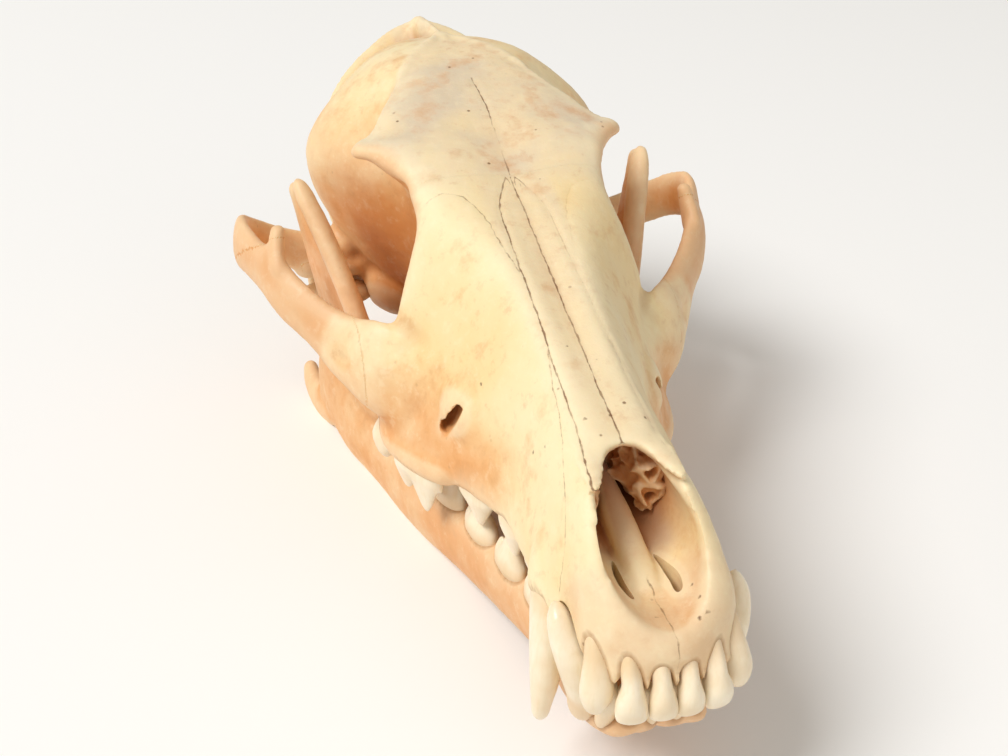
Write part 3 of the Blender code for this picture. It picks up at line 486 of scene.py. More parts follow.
def brain_parts():
    """The braincase with its crests, its base, the ear bullae and the neck joint."""
    parts = [ringed(BRAIN_RINGS, 0.12)]
    crest = ((0, 146, 61, 1.0, 2.6), (0, 158, 62.0, 1.0, 3.0), (0, 175, 61.0, 1.2, 4.0))
    crest += ((0, 188, 60.3, 1.8, 3.6), (0, 192.4, 60.5, 1.6, 2.4))
    parts.append(sweep(crest))
    parts.append(ball((0, 176, 37), (23, 11, 22)))
    parts += both(band, NUCHAL)
    parts += both(ball, (15.5, 150, 8.5), (9, 12.5, 9.5), turn=(0, 0, -12))
    parts += both(ball, (9.5, 183.5, 17.5), (5.8, 6.5, 7.5), turn=(0, 20, -20))
    jugular = ((20, 169, 17, 4, 4), (22.5, 174, 8, 2.4, 3), (22.5, 176, 0, 1.3, 1.6))
    parts += both(sweep, jugular, up=(0, 1, 0))
    glenoid = ((18, 154, 15, 7, 4), (28, 152.5, 13.5, 7, 4), (41, 150.5, 15, 6, 4))
    parts += both(sweep, glenoid, up=(0, 0, 1))
    behind_joint = ((22, 157.5, 10, 2.2, 4), (29, 157.0, 7.5, 2.2, 5.0), (37, 155.8, 10, 2, 4))
    parts += both(sweep, behind_joint)
    wing = ((8.5, 100, 6, 1.6, 6), (8.5, 110, 5, 1.5, 6.5), (8.5, 120, 5.5, 1.5, 6))
    parts += both(sweep, wing)
    hook = ((8.7, 118, 2, 1.7, 2.5), (9, 122, -1.5, 1.5, 1.8), (9.2, 125.5, -3.5, 1.2, 1.2))
    parts += both(sweep, hook)
    brow = ((14, 111, 51.2, 8, 3.2), (21, 112, 51.3, 6, 2.7), (25.5, 113.4, 51.4, 3.6, 1.9))
    brow += ((29.3, 115.5, 50.5, 1.1, 0.9),)
    parts += both(sweep, brow)
    return parts


def snout_parts():
    """The snout and forehead, with the bone swelling over the big teeth's roots."""
    parts = [ringed(SNOUT_RINGS, 0.05, along=150)]
    root = ((9.5, 34, 13, 1.6, 3), (11.4, 29.5, 10, 2.3, 3.8), (13.2, 24.5, 4.5, 3.1, 4.8))
    root += ((14.2, 22.5, 0.5, 2.8, 4.6),)
    parts += both(sweep, root, up=(0, 1, 0))
    row = ((19.5, 64, 0.9, 3.5, 3), (24.0, 74, -0.2, 4.0, 3.5), (26.0, 86, -0.8, 5, 4))
    row += ((24.5, 99, 0.3, 5, 4),)
    parts += both(sweep, row)
    parts += both(ball, (15.6, 68, 13.5), (6.4, 11, 8))
    parts += both(ball, (4.5, 1.0, -1.6), (0.8, 1.6, 2.4))
    parts += both(ball, (9.2, 2.9, -1.2), (0.9, 1.6, 2.2))
    parts.append(ball((0, 0.4, -1.6), (0.8, 1.5, 2.2)))
    return parts


def arch_parts():
    """The cheek arches with their upright point behind the eye."""
    point = ((46.8, 112.5, 26, 1.9, 4.5), (46.2, 115.5, 32, 1.8, 2.8), (45.2, 116.6, 36.6, 1.6, 1.6))
    return both(band, ARCH, cap=0.05, along=110) + both(sweep, point, up=(0, 1, 0))


def openings():
    """What is hollow: nose, eye sockets, canals, ear holes and the neck's hole."""
    cavity = ((0, -6, 17.0, 8.6, 11.0), (0, 7, 16.4, 8.5, 10.4), (0, 20, 14.7, 8.1, 8.6))
    cavity += ((0, 34, 16.6, 8.4, 8.6), (0, 48, 19.4, 8.4, 9.0), (0, 62, 22.5, 8.2, 9.0))
    parts = [sweep(cavity, cap=0.08, around=40), ball((0, 11.5, 22.5), (8.4, 15.5, 10.5))]
    parts += both(ball, (31, 104, 37), (13, 14.5, 15.2))
    mouth = ((24.6, 55.5, 13.8, 1.0, 4.8), (22.2, 60.5, 13.3, 1.15, 6.0), (20.2, 65.0, 12.8, 1.1, 5.2))
    mouth += ((18.8, 71.0, 13.2, 1.3, 3.4),)
    parts += both(sweep, mouth, up=(-0.28, -0.49, 0.82), cap=0.1)
    canal = ((18.9, 70, 13.6, 1.5, 2.8), (19.8, 84, 15.5, 2.2, 3.0), (21.0, 99, 17, 2.8, 3.4))
    parts += both(sweep, canal, cap=0.05)
    parts += both(ball, (24.5, 156.5, 12.5), (9, 3.4, 3.2), turn=(0, 0, -20))
    neck = ((0, 166, 26, 6, 6), (0, 178, 24, 8, 6.5), (0, 196, 21, 8.6, 6.8))
    parts.append(sweep(neck, cap=0.1))
    parts.append(ball((0, 108, 4.5), (6.6, 18, 5.5)))
    grown = [r + CLEAR for r in CONDYLE_RADII]
    parts += both(ball, CONDYLE, grown, around=36)
    return parts


def palate_slits():
    """The pair of slits through the palate behind the incisors."""
    slit = ((3.8, 9.4, 5, 0.4, 6), (4.1, 10.8, 5, 0.8, 6), (4.3, 13.4, 5, 0.9, 6))
    slit += ((4.0, 17.0, 5, 0.65, 6), (3.5, 20.5, 5, 0.25, 6))
    return both(sweep, slit, cap=0.1)


def thin_edges():
    """The nasal bones' pointed ends and the ridge along the nose's floor."""
    tip = ((3.6, 32, 25.3, 2.8, 0.9), (5.9, 24.5, 23.7, 2.3, 0.8), (7.4, 17.6, 22.2, 0.8, 0.5))
    ridge = ((0, 9, 4.6, 2.2, 1.6), (0, 17, 6.6, 2.6, 2.2), (0, 25, 9.0, 2.6, 3.0))
    ridge += ((0, 34, 10.8, 2.2, 4.2), (0, 45, 12.0, 1.6, 6.0), (0, 62, 15, 1.2, 9))
    return both(sweep, tip) + [sweep(ridge)]


def scroll(centre, reach, turns, depth, side=1):
    """A thin curled plate that winds inwards from its reach, its front edge uneven."""
    path = []
    for i in range(SCROLL_POINTS):
        share = i / (SCROLL_POINTS - 1)
        angle = turns * 2 * math.pi * share
        r = reach * (1 - 0.75 * share)
        y = centre[1] + 1.3 * math.sin(3 * angle + centre[2]) + 0.4 * math.sin(8 * angle)
        path.append((centre[0] + r * math.cos(angle), y, centre[2] + r * math.sin(angle), 0.6, depth))
    return sweep(path, side, (0, 1, 0), around=16, along=70)


def scroll_parts():
    """The scrolls of thin bone inside the nose."""
    parts = []
    for centre, reach, turns, depth in SCROLLS:
        parts += both(scroll, centre, reach, turns, depth)
    upper_shelf = ((7.4, 35, 20, 1.6, 0.9), (7.0, 44, 21, 2.4, 1.2), (7.2, 60, 24, 2.6, 2))
    lower_shelf = ((7.2, 31, 12.5, 2.2, 0.9), (7.2, 44, 15, 3.2, 1.4), (7.2, 60, 18, 3.6, 2))
    return parts + both(sweep, upper_shelf) + both(sweep, lower_shelf)


def jaw_parts():
    """The lower jaw's left half."""
    parts = [band(JAW_BODY, along=100), band(CORONOID)]
    parts.append(ball((2.6, 16, -18.4), (4.6, 14, 4.2), turn=(-27, 0, 0)))
    rod = ((25.6, 104.5, -10, 2.6, 3.2), (28.6, 107.8, 5, 2.4, 3.2), (31.5, 112.4, 18, 2.3, 3.2))
    rod += ((35.4, 120, 30.8, 2.2, 3.1), (39.8, 129.4, 42.4, 2.0, 2.8))
    parts.append(sweep(rod, up=(0, 1, 0.3)))
    parts.append(ball(CONDYLE, CONDYLE_RADII, around=36))
    neck = ((34.5, 138, -4, 2.6, 8), (33.5, 144.5, 0.5, 3.6, 5), (32, 149, 3.5, 5.5, 3))
    parts.append(sweep(neck))
    angle = ((34.5, 134, -18.6, 2.8, 4.8), (37, 143, -19.6, 2.6, 4.4), (38.4, 150, -17.6, 2.4, 3.4))
    angle += ((38.8, 155.5, -14.4, 1.6, 1.8),)
    parts.append(sweep(angle))
    return parts


def joined(name, parts):
    """Closed forms as one mesh object, still passing through each other."""
    whole = bmesh.new()
    mesh = bpy.data.meshes.new(name)
    for part in parts:
        part.to_mesh(mesh)
        part.free()
        whole.from_mesh(mesh)
    whole.to_mesh(mesh)
    whole.free()
    obj = bpy.data.objects.new(name, mesh)
    bpy.context.scene.collection.objects.link(obj)
    return obj


def baked(obj):
    """The object with its modifiers applied."""
    bpy.context.view_layer.update()
    graph = bpy.context.evaluated_depsgraph_get()
    mesh = bpy.data.meshes.new_from_object(obj.evaluated_get(graph))
    old = obj.data
    obj.modifiers.clear()
    obj.data = mesh
    bpy.data.meshes.remove(old)
    return obj


def fused(obj, voxel, smooth):
    """The object as one skin with soft joins."""
    remesh = obj.modifiers.new("skin", "REMESH")
    remesh.mode = "VOXEL"
    remesh.voxel_size = voxel
    if smooth:
        soften = obj.modifiers.new("soften", "SMOOTH")
        soften.factor = 0.5
        soften.iterations = smooth
    return baked(obj)


def combined(obj, tool, operation):
    """The object cut by, joined to or kept within another object, which is then removed."""
    boolean = obj.modifiers.new("cut", "BOOLEAN")
    boolean.operation = operation
    boolean.object = tool
    boolean.solver = "MANIFOLD"
    baked(obj)
    bpy.data.objects.remove(tool)
    return obj


def cut(obj, parts, operation="DIFFERENCE"):
    """The object less each of the forms."""
    for part in parts:
        combined(obj, joined("tool", [part]), operation)
    return obj


def half_space(point, away):
    """A large block whose one face passes through the point and looks away from the block."""
    bm = bmesh.new()
    bmesh.ops.create_cube(bm, size=BLOCK_SIZE)
    turn = Vector((0, 0, 1)).rotation_difference(Vector(away)).to_matrix()
    for vert in bm.verts:
        vert.co = Vector(point) + turn @ (vert.co - Vector((0, 0, BLOCK_SIZE / 2)))
    return bm


def slant(one, other):
    """A point on the plane through two y, z points, and its normal, which looks up or back."""
    normal = Vector((0, one[1] - other[1], other[0] - one[0])).normalized()
    return Vector((0, *one)), normal if normal.y + normal.z > 0 else -normal


def copied(obj, name):
    """A copy of the object with a mesh of its own."""
    twin = bpy.data.objects.new(name, obj.data.copy())
    bpy.context.scene.collection.objects.link(twin)
    return twin


def cheek_block(side, grow):
    """A block that holds a jugal bone, larger by grow on the faces where the bone meets others."""
    point, over = slant(JUGAL_SEAM_TOP, JUGAL_SEAM_BOTTOM)
    block = joined("block", [half_space(point + over * grow, over)])
    inner = Vector((side * (JUGAL_FRONT_X - grow), 0, 0))
    cut(block, [half_space(inner, (side, 0, 0))])
    return cut(block, [half_space((0, JUGAL_END_Y + grow, 0), (0, -1, 0))])


class Skin:
    """A mesh's points, normals and edges as arrays, for work over the whole surface."""

    def __init__(self, obj):
        self.mesh = obj.data
        count = len(self.mesh.vertices)
        self.points = np.empty(count * 3)
        self.mesh.vertices.foreach_get("co", self.points)
        self.points = self.points.reshape(-1, 3)
        self.normals = np.empty(count * 3)
        self.mesh.vertices.foreach_get("normal", self.normals)
        self.normals = self.normals.reshape(-1, 3)
        self.edges = np.empty(len(self.mesh.edges) * 2, int)
        self.mesh.edges.foreach_get("vertices", self.edges)
        self.edges = self.edges.reshape(-1, 2)

    def around(self, values):
        """The sum of each point's neighbours' values."""
        one, other = self.edges.T
        count = len(self.points)
        return np.bincount(one, values[other], count) + np.bincount(other, values[one], count)

    def hollowness(self):
        """How far the evened surface lies over each point, in millimetres."""
        share = self.around(np.ones(len(self.points)))
        evened = self.points
        for _ in range(HOLLOW_ROUNDS):
            evened = np.column_stack([self.around(column) / share for column in evened.T])
        return ((evened - self.points) * self.normals).sum(axis=1)

    def move(self, distance):
        """Each point moved along its normal."""
        self.points += self.normals * np.asarray(distance)[:, None]
        self.mesh.vertices.foreach_set("co", self.points.ravel())
        self.mesh.update()

    def keep(self, name, values):
        """A number for each point, for the materials to read."""
        layers = self.mesh.attributes
        layer = layers[name] if name in layers else layers.new(name, "FLOAT", "POINT")
        layer.data.foreach_set("value", np.asarray(values, np.float32))

    def kept(self, name):
        """The numbers kept for the points under this name."""
        values = np.empty(len(self.points))
        self.mesh.attributes[name].data.foreach_get("value", values)
        return values


def search_tree(spots):
    """A tree that finds the nearest of the spots."""
    tree = kdtree.KDTree(len(spots))
    for i, spot in enumerate(spots):
        tree.insert(spot, i)
    tree.balance()
    return tree


def lumps(points, size, seed):
    """Soft random swellings, from about -1 to 1, this many millimetres across."""
    shift = Vector((seed * 17.0, seed * 31.0, seed * 47.0))
    return np.array([noise.noise(Vector(p) / size + shift) for p in points])


def ramp(values, low, high):
    """From 0 at low to 1 at high with soft ends."""
    share = np.clip((np.asarray(values) - low) / (high - low), 0.0, 1.0)
    return share * share * (3 - 2 * share)


def sampled(path, waver, side=1):
    """Closely set points along a line that wavers from side to side."""
    length = sum((Vector(b) - Vector(a)).length for a, b in zip(path, path[1:]))
    count = int(length / SEAM_STEP)
    points = [Vector(catmull(path, i / count)) for i in range(count + 1)]
    for point in points:
        point += noise.noise_vector(point / 1.5) * waver + noise.noise_vector(point / 5) * waver
        point.x *= side
    return points


def nearest(points, lines):
    """For each point the nearest spot of the lines, the line's way on from it, and its distance."""
    spots = [spot for line in lines for spot in line[:-1]]
    ways = np.array([b - a for line in lines for a, b in zip(line, line[1:])])
    tree = search_tree(spots)
    found = [tree.find(point) for point in points]
    near = np.array([hit[1] for hit in found])
    return np.array(spots)[near], ways[near], np.array([hit[2] for hit in found])


def keep_seams(skin, name, seams):
    """How far each point lies beside the nearest seam, and how close it is, 1 to 0, as attributes."""
    lines = []
    for path, waver in seams:
        middle = max(point[0] for point in path) < 1
        lines += [sampled(path, waver, side) for side in ((1,) if middle else (1, -1))]
    spots, ways, gap = nearest(skin.points, lines)
    across = np.cross(skin.normals, ways)
    across /= np.linalg.norm(across, axis=1)[:, None] + 1e-9
    skin.keep(name + "_beside", ((skin.points - spots) * across).sum(axis=1))
    share = 1 - (1 - FAR_SIDE_SHARE) * ramp(skin.points[:, 0], 1.2, 3.0)
    skin.keep(name + "_close", np.clip(1 - gap / SEAM_REACH, 0, 1) * share)
    return gap


def raised(points):
    """The relief that bones share on both sides, in millimetres for each point."""
    mirrored = np.abs(points[:, 0])
    height = np.zeros(len(points))
    for x, y, z, reach_x, reach_y, reach_z, rise in RELIEF:
        far = ((mirrored - x) / reach_x) ** 2 + ((points[:, 1] - y) / reach_y) ** 2
        height += rise * np.exp(-far - ((points[:, 2] - z) / reach_z) ** 2)
    line = sampled(TEMPORAL_LINE, TEMPORAL_WAVER)
    folded = np.column_stack([mirrored, points[:, 1:]])
    gap = nearest(folded, [line])[2]
    return height + TEMPORAL_RISE * np.exp(-((gap / TEMPORAL_WIDTH) ** 2))


def uneven(skin):
    """The soft unevenness that every bone has."""
    skin.move(sum(rise * lumps(skin.points, size, seed) for seed, (rise, size) in enumerate(UNEVEN, 1)))


def keep_tints_and_shade(skin, warm, pale, deep):
    """What dried bone reads for its colours: hollows in millimetres, the rest from 0 to 1. The hollows
    carry painted shade and painted light, the warm and deep shares partly painted shade.
    """
    # The hollow share browns hollows with painted shade and lightens crests with painted light
    skin.keep("hollow", np.clip(skin.hollowness(), -1.5, 3.0))
    for name, share in (("warm", warm), ("pale", pale), ("deep", deep)):
        skin.keep(name, np.clip(share, 0, 1))


def keep_pits(skin):
    """How close each point is to a small hole, 1 to 0, as an attribute, for the painted shade in the hole.
    """
    gap = np.full(len(skin.points), PIT_REACH)
    for pit in PITS:
        gap = np.minimum(gap, np.linalg.norm(skin.points - pit, axis=1))
    skin.keep("pit", 1 - gap / PIT_REACH)


def nose_inside(skin):
    """How surely each point is on the nose's inner wall, and how far back, 0 to 1, for the painted shade
    inside the nose.
    """
    x, y, z = skin.points.T
    middle = np.interp(y, (7, 20, 34, 48, 62), (16.4, 14.7, 16.6, 19.4, 22.5))
    inward = np.column_stack([-x, np.zeros_like(x), middle - z])
    inward /= np.linalg.norm(inward, axis=1)[:, None] + 1e-9
    facing = ramp((inward * skin.normals).sum(axis=1), 0.0, 0.35)
    room = (np.abs(x) < 9.8) & (y < 80) & (z > 4.5) & (z < middle + 10)
    return facing * room * ramp(y, 14, 36)


def cranium_tints_and_shade(skin):
    """Where the cranium is warm, pale and deep brown: warm tint by the arches and gum, painted warm shade
    low in the temporal fossa, in the eye sockets and on faces that look down, and painted shade for all
    the deep brown.
    """
    x, y, z = skin.points.T
    x = np.abs(x)
    keys = np.array(TEMPORAL_LINE)
    line = np.interp(y, (100, 104, *keys[:, 1]), (19, 22, *keys[:, 0]))
    beyond = ramp(x - line, -0.5, 3.0) * ramp(y, 98, 110)
    height = np.interp(y, (94, 100, 106, *keys[:, 1]), (40, 44.5, 47.5, *keys[:, 2]))
    beyond = np.maximum(beyond, ramp(height - z, 0.5, 4.0) * ramp(x, 6, 9) * ramp(y, 95, 99))
    # Painted shade: warmer low in the temporal fossa, over a faint warm tint on the side of the head
    low = ramp(y, 168, 130)
    fossa = beyond * (0.1 + 0.45 * low * ramp(z, 60, 42) + 0.55 * low * ramp(z, 46, 26))
    # Painted shade inside the eye sockets
    eye = ((x - 31) / 15.5) ** 2 + ((y - 104) / 17) ** 2 + ((z - 37) / 18) ** 2
    orbit_shade = ramp(eye, 1.35, 0.75)
    arch = 0.42 * ramp(x, 25, 32) * ramp(y, 78, 88)
    gum = 0.85 * ramp(z, 24, 6) * ramp(y, 34, 60)
    # Painted shade: warmer on faces that look down
    under = 0.7 * ramp(-skin.normals[:, 2], 0.1, 0.8)
    warm = np.maximum.reduce([fossa, 0.95 * orbit_shade, arch, gum, under])
    forehead = (1 - beyond) * ramp(y, 90, 99)
    nasals = ramp(8.5 - x, 0, 2.5) * ramp(y, 16, 22) * ramp(skin.normals[:, 2], 0.2, 0.6)
    snout_end = ramp(y, 18, 9) * ramp(z, 16, 9)
    warm = np.maximum(warm, 0.34 * snout_end)
    pale = np.maximum.reduce([forehead, 0.8 * nasals, 0.8 * snout_end])
    # Painted shade: deep brown low at the front of the temporal fossa and inside the nose
    deep = 0.25 * beyond * ramp(y, 145, 120) * ramp(z, 42, 24)
    return warm, pale * (1 - 0.7 * warm), np.maximum(deep, nose_inside(skin))


def finished_cranium(obj):
    """The cranium's surface worked over, and what its materials read."""
    skin = Skin(obj)
    skin.move(raised(skin.points))
    gaps = [keep_seams(skin, "dark_seam", DARK_SEAMS), keep_seams(skin, "fine_seam", FINE_SEAMS)]
    grooves = zip(SEAM_DEPTHS, SEAM_WIDTHS, gaps)
    skin.move(-sum(depth * np.exp(-((gap / width) ** 2)) for depth, width, gap in grooves))
    keep_tints_and_shade(skin, *cranium_tints_and_shade(skin))
    keep_pits(skin)
    uneven(skin)


def finished_jaw(obj):
    """The lower jaw's surface worked over, and what its material reads."""
    skin = Skin(obj)
    rear = ramp(skin.points[:, 1], 60, 120)
    none = np.zeros(len(skin.points))
    keep_tints_and_shade(skin, 1.0 - 0.25 * rear, 0.1 + none, 0.12 * (1 - rear))
    uneven(skin)


def finished_scrolls(obj):
    """The nose scrolls, browner towards the back with painted shade, deeper in the nose."""
    skin = Skin(obj)
    none = np.zeros(len(skin.points))
    # Painted shade: deep brown growing towards the back of the nose
    keep_tints_and_shade(skin, 0.75 + none, none, 0.25 + 0.75 * ramp(skin.points[:, 1], 30, 48))
    uneven(skin)


def fill_cut_edges(obj):
    """Where bones were parted the surface has no numbers yet: it takes its neighbours'."""
    skin = Skin(obj)
    known = (skin.kept("hollow") != 0).astype(float)
    share = skin.around(known)
    fresh = (known == 0) & (share > 0)
    for name in ("hollow", "warm", "pale", "deep"):
        values = skin.kept(name)
        values[fresh] = skin.around(values * known)[fresh] / share[fresh]
        if name == "hollow":
            cheek = np.abs(skin.points[:, 0]) > CHEEK_SEAM_X
            values[fresh & cheek] = CHEEK_SEAM_HOLLOW
        skin.keep(name, values)


def keep_sockets(bones, teeth):
    """How close each bone point is to a tooth, 1 to 0, as an attribute, for the painted shade where bone
    meets tooth.
    """
    tree = search_tree([vert.co.copy() for tooth in teeth for vert in tooth.data.vertices])
    for bone in bones:
        skin = Skin(bone)
        gap = np.array([tree.find(point)[2] for point in skin.points])
        skin.keep("socket", np.clip(1 - gap / SOCKET_REACH, 0, 1))


def finished_teeth(obj, gum, crown):
    """Teeth, and what enamel reads: 0 at the crown's height to 1 at the gum's."""
    skin = Skin(obj)
    skin.keep("root", ramp(skin.points[:, 2], crown, gum))
    skin.move(0.05 * lumps(skin.points, 2.5, 4))


def cranium_pieces():
    """The cranium in its four pieces, in skull space."""
    cranium = joined("cranium", brain_parts() + snout_parts() + arch_parts())
    fused(cranium, FORM_VOXEL, 4)
    cut(cranium, openings())
    cut(cranium, thin_edges(), "UNION")
    fused(cranium, BONE_VOXEL, 2)
    cut(cranium, palate_slits())
    finished_cranium(cranium)

    point, behind = slant(SUTURE_BOTTOM, SUTURE_TOP)
    brain = copied(cranium, "braincase_bone")
    cut(brain, [half_space(point + behind * SEAM_GAP / 2, behind)])
    face = copied(cranium, "face_bone")
    cut(face, [half_space(point - behind * SEAM_GAP / 2, -behind)])
    jugals = []
    for side, name in ((1, "left"), (-1, "right")):
        jugal = copied(cranium, f"jugal_{name}_bone")
        jugals.append(combined(jugal, cheek_block(side, -SEAM_GAP / 2), "INTERSECT"))
        for obj in (brain, face):
            combined(obj, cheek_block(side, SEAM_GAP / 2), "DIFFERENCE")
    bpy.data.objects.remove(cranium)
    cut(face, both(grown_canine))
    for obj in [brain, face] + jugals:
        fill_cut_edges(obj)
    return [brain, face] + jugals


def grown_canine(side=1):
    """The room round a lower canine with the mouth shut."""
    path, facing = LOWER_FRONT[-1]
    return front_tooth(path, facing, side, grow=CLEAR)


def jaw_pieces():
    """The two halves of the lower jaw, in skull space."""
    left = joined("mandible_left_bone", jaw_parts())
    fused(left, JAW_VOXEL, 5)
    cut(left, [ball((47.0, 127, 3), (10.5, 13.5, 19))])
    cut(left, [half_space((SEAM_GAP, 0, 0), (1, 0, 0))])
    finished_jaw(left)
    up = rest_turn().inverted() @ Vector((0, 0, 1))
    cut(left, [half_space((0, *REST_FRONT), up)])
    right = copied(left, "mandible_right_bone")
    for vert in right.data.vertices:
        vert.co.x = -vert.co.x
    right.data.flip_normals()
    return [left, right]


def teeth_pieces():
    """All teeth of each jaw."""
    pieces = []
    for name, make in (("upper_teeth", upper_teeth), ("lower_teeth", lower_teeth)):
        for side, hand in ((1, "left"), (-1, "right")):
            pieces.append(joined(f"{name}_{hand}", make(side)))
    return pieces


def rest_turn():
    """The turn about x that sets the jaw's two resting places level."""
    rise = math.atan2(REST_BACK[1] - REST_FRONT[1], REST_BACK[0] - REST_FRONT[0])
    return Matrix.Rotation(-rise, 4, "X")


def rest_matrix():
    """From skull space in millimetres to the table in metres."""
    turn = rest_turn()
    low = turn @ Vector((0, *REST_FRONT))
    centre = turn @ Vector((0, MIDDLE_Y, 0))
    return Matrix.Scale(MM, 4) @ Matrix.Translation((0, -centre.y, -low.z)) @ turn


LAY = rest_matrix()


# The kinds of node used most
NOISE = "ShaderNodeTexNoise"
FIELD = "ShaderNodeAttribute"
RANGE = "ShaderNodeMapRange"
MATH = "ShaderNodeMath"
MIX = "ShaderNodeMix"
SHADER = "ShaderNodeBsdfPrincipled"
END = "ShaderNodeOutputMaterial"


def scale_for(millimetres):
    """The scale of a pattern whose marks lie this far apart."""
    return 1 / (millimetres * MM)


def linear(code):
    """An sRGB hex colour as linear light."""
    parts = [int(code[i : i + 2], 16) / 255 for i in (1, 3, 5)]
    return [c / 12.92 if c <= 0.04045 else ((c + 0.055) / 1.055) ** 2.4 for c in parts] + [1.0]


def add(tree, kind, inputs=None, out=0, **settings):
    """A node with its settings, its inputs set or linked; gives the output named by out."""
    node = tree.nodes.new(kind)
    for key, value in settings.items():
        setattr(node, key, value)
    for key, value in (inputs or {}).items():
        if isinstance(value, bpy.types.NodeSocket):
            tree.links.new(value, node.inputs[key])
        else:
            node.inputs[key].default_value = value
    return node.outputs[out] if node.outputs else node


def new_material(name):
    """An empty material and its node tree."""
    material = bpy.data.materials.new(name)
    material.use_nodes = True
    material.node_tree.nodes.clear()
    return material, material.node_tree


def covered(tree, tint, layers):
    """The colour covered by each layer's colour in turn, as far as its share goes."""
    for share, low, high, least, most, code in layers:
        share = add(tree, RANGE, {0: share, 1: low, 2: high, 3: least, 4: most})
        tint = add(tree, MIX, {0: share, 6: tint, 7: linear(code)}, 2, data_type="RGBA")
    return tint


def seam_line(tree, name, waver, half_width, soft_width, broken):
    """A thin broken line along the seams of one kind, its width in millimetres."""
    side = add(tree, FIELD, out="Fac", attribute_name=name + "_beside")
    side = add(tree, MATH, {0: side}, operation="ABSOLUTE")
    side = add(tree, MATH, {0: side, 1: waver})
    line = add(tree, RANGE, {0: side, 1: half_width, 2: half_width + soft_width, 3: 1.0, 4: 0.0})
    close = add(tree, FIELD, out="Fac", attribute_name=name + "_close")
    close = add(tree, RANGE, {0: close, 1: 0.35, 2: 0.6})
    line = add(tree, MATH, {0: line, 1: close}, operation="MULTIPLY")
    return add(tree, MATH, {0: line, 1: broken}, operation="MULTIPLY")


